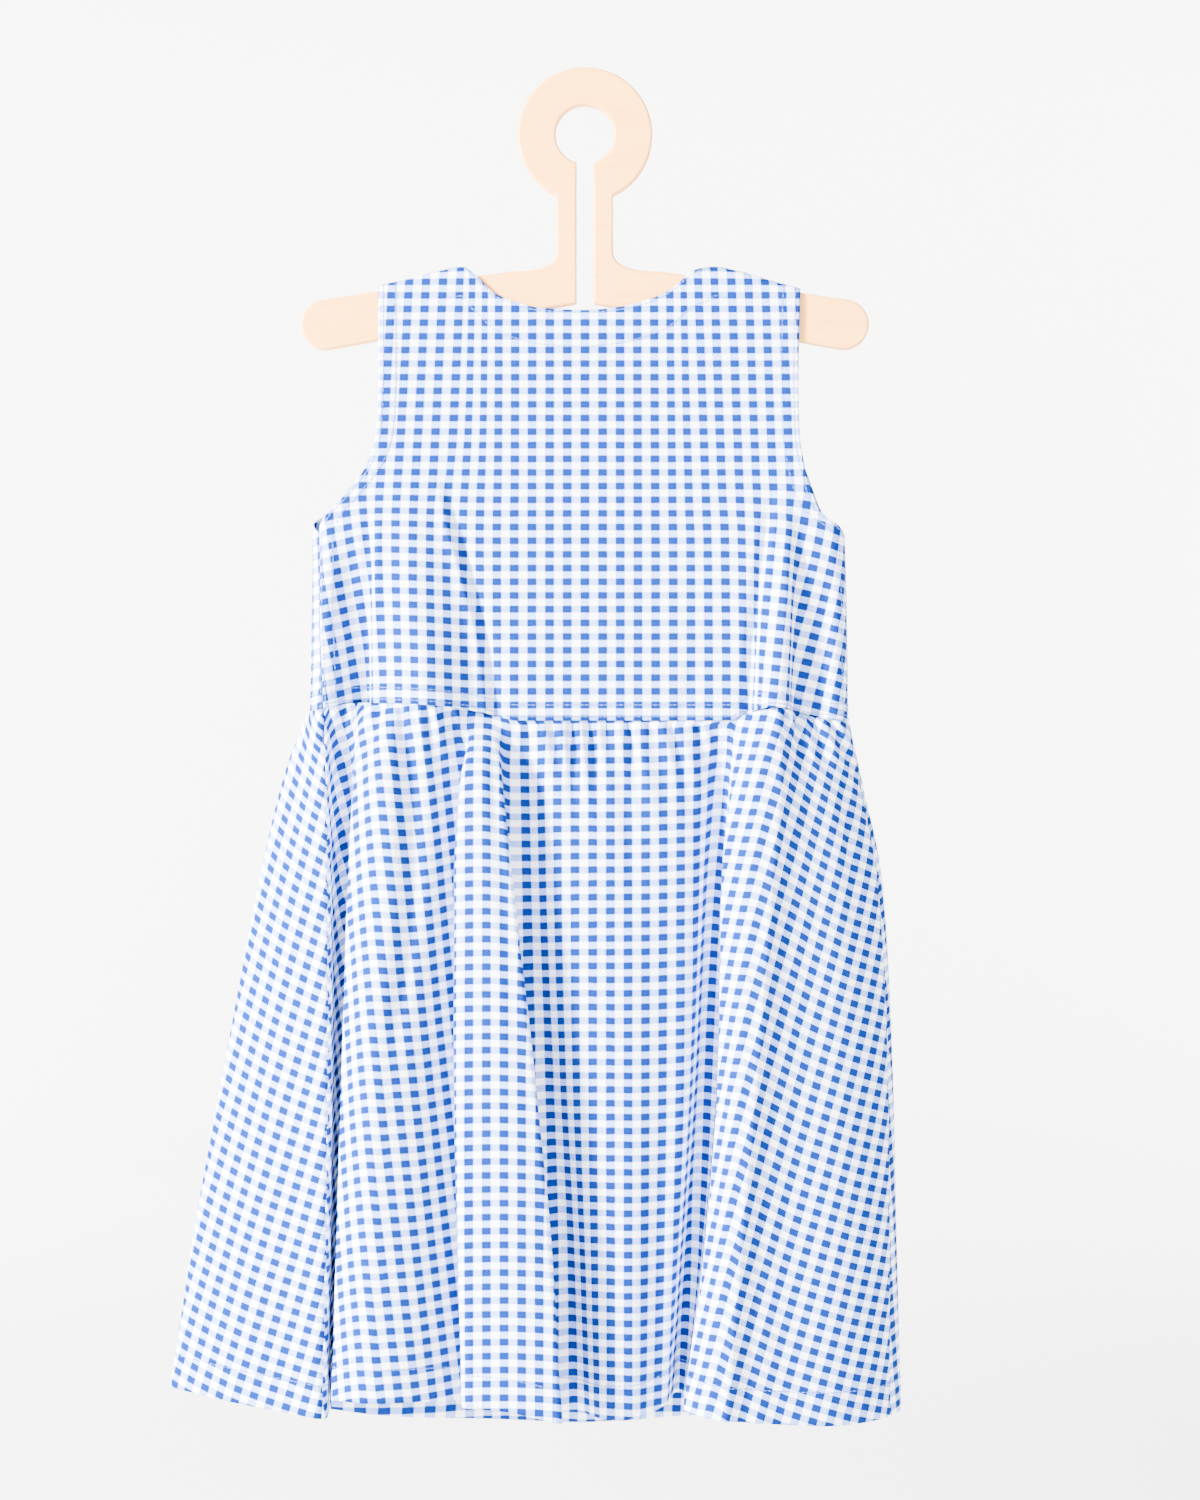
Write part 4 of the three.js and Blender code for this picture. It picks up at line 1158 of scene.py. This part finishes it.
FRONT_PLEATS = table(
    "place top foot rise width",
    (31.6, 0.1, 1.3, 3.0, 9.0),
    (32.6, 0.0, 0.7, -3.2, 7.0),
    (33.5, 0.02, 0.5, 2.4, 7.0),
    (34.3, 0.0, 0.34, -2.6, 5.0),
    (34.9, 0.15, 1.3, 2.2, 8.0),
    (35.4, 0.02, 0.6, -3.0, 6.0),
    (36.2, 0.0, 0.3, 1.8, 6.0),
    (37.3, 0.02, 0.8, -3.0, 8.0),
    (38.0, 0.1, 1.3, 2.0, 9.0),
    (40.4, 0.0, 0.12, -1.0, 4.0),
)
FRONT_GRAIN = {
    "straight": 35.0,
    "zones": (
        {"at": 35.0, "lean": -3.0, "faces": -1},
        {"at": 41.0, "lean": 16.0, "faces": 1},
    ),
    "folds": ((36.0, 38.6),),
    "tilt_places": (30, 32, 33.5, 35, 37, 38.5, 40, 42),
    "tilts": (-16, -13, -4, 0, 4, 13, 20, 21),
}

front_places = skirt_places(RIGHT_SEAM_LINE, len(SKIRT_LINES) + LEFT_SEAM_LINE, spacing=2.4)
skirt_front, skirt_front_stitches = skirt_panel(
    "skirt_front",
    FRONT,
    front_places,
    rows=115,
    gathers=FRONT_GATHERS,
    pleats=FRONT_PLEATS,
    grain=FRONT_GRAIN,
    seed=9,
)
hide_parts("skirt_front")
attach(skirt_front, "root")
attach(skirt_front_stitches, "root")


# Studio: a round pale floor that curves up all round, soft light from the left and front, and a
# camera straight in front of the dress.

STUDIO_RADIUS = 5.5
FLOOR = -1.05
COVE = 2.2
HEIGHT = 3.2

paper, tree, shader = new_material("pale studio paper")
shader.inputs["Base Color"].default_value = colour("#F4F4F3")
shader.inputs["Roughness"].default_value = 0.95
shader.inputs["Specular IOR Level"].default_value = 0.1

FLAT_RADIUS = 1.5
SIDES = 72
cove_turns = np.linspace(0.1, np.pi / 2, 14)
profile = [(FLAT_RADIUS, 0.0), (STUDIO_RADIUS - COVE, 0.0)]
profile += [(STUDIO_RADIUS - COVE * (1 - np.sin(a)), COVE * (1 - np.cos(a))) for a in cove_turns]
profile += [(STUDIO_RADIUS, HEIGHT)]
vertices = [
    (r * np.cos(a), r * np.sin(a), FLOOR + h)
    for r, h in profile
    for a in np.linspace(0, 2 * np.pi, SIDES, endpoint=False)
]
faces = [tuple(range(SIDES))]
for ring in range(len(profile) - 1):
    for i in range(SIDES):
        a, b = ring * SIDES + i, ring * SIDES + (i + 1) % SIDES
        faces.append((a, a + SIDES, b + SIDES, b))
bowl = bpy.data.meshes.new("studio_floor")
bowl.from_pydata(vertices, [], faces)
bowl.polygons.foreach_set("use_smooth", [True] * len(bowl.polygons))
studio = add_object("studio_floor", bowl, paper)

world = bpy.data.worlds.new("pale studio air")
world.use_nodes = True
world.node_tree.nodes["Background"].inputs["Color"].default_value = colour("#CFDCFF")
world.node_tree.nodes["Background"].inputs["Strength"].default_value = 0.5
bpy.context.scene.world = world


def add_light(name, place, target, size, power, tint):
    """A round soft light at a place, turned towards a target."""
    light = bpy.data.lights.new(name, "AREA")
    light.shape = "DISK"
    light.size = size
    light.energy = power
    light.color = colour(tint)[:3]
    lamp = bpy.data.objects.new(name, light)
    bpy.context.scene.collection.objects.link(lamp)
    lamp.location = place
    aim = target - lamp.location
    lamp.rotation_euler = aim.to_track_quat("-Z", "Y").to_euler()


middle = bpy.context.scene.cursor.location.copy()
middle.xyz = (0.0, 0.0, -0.4)
add_light("left key", (-3.4, -1.7, 1.0), middle, size=0.8, power=2550.0, tint="#FFFEFC")
add_light("right fill", (1.6, -3.4, 0.6), middle, size=1.8, power=70.0, tint="#F8FAFF")
backdrop = middle.copy()
backdrop.xyz = (0.0, 5.5, 0.0)
add_light("left backdrop light", (-2.2, 2.4, 0.6), backdrop, size=1.6, power=330.0, tint="#FFFEFC")
add_light("right backdrop light", (2.2, 2.4, 0.6), backdrop, size=1.6, power=260.0, tint="#FFFEFC")

CAMERA_DISTANCE = 1.8
PICTURE_HEIGHT = 0.870
PICTURE_MIDDLE = (0.0087, -0.3735)
camera = bpy.data.cameras.new("camera")
camera.lens = camera.sensor_width * CAMERA_DISTANCE / PICTURE_HEIGHT
viewer = bpy.data.objects.new("camera", camera)
bpy.context.scene.collection.objects.link(viewer)
viewer.location = (PICTURE_MIDDLE[0], -CAMERA_DISTANCE, PICTURE_MIDDLE[1])
viewer.rotation_euler = (np.pi / 2, 0, 0)
bpy.context.scene.camera = viewer
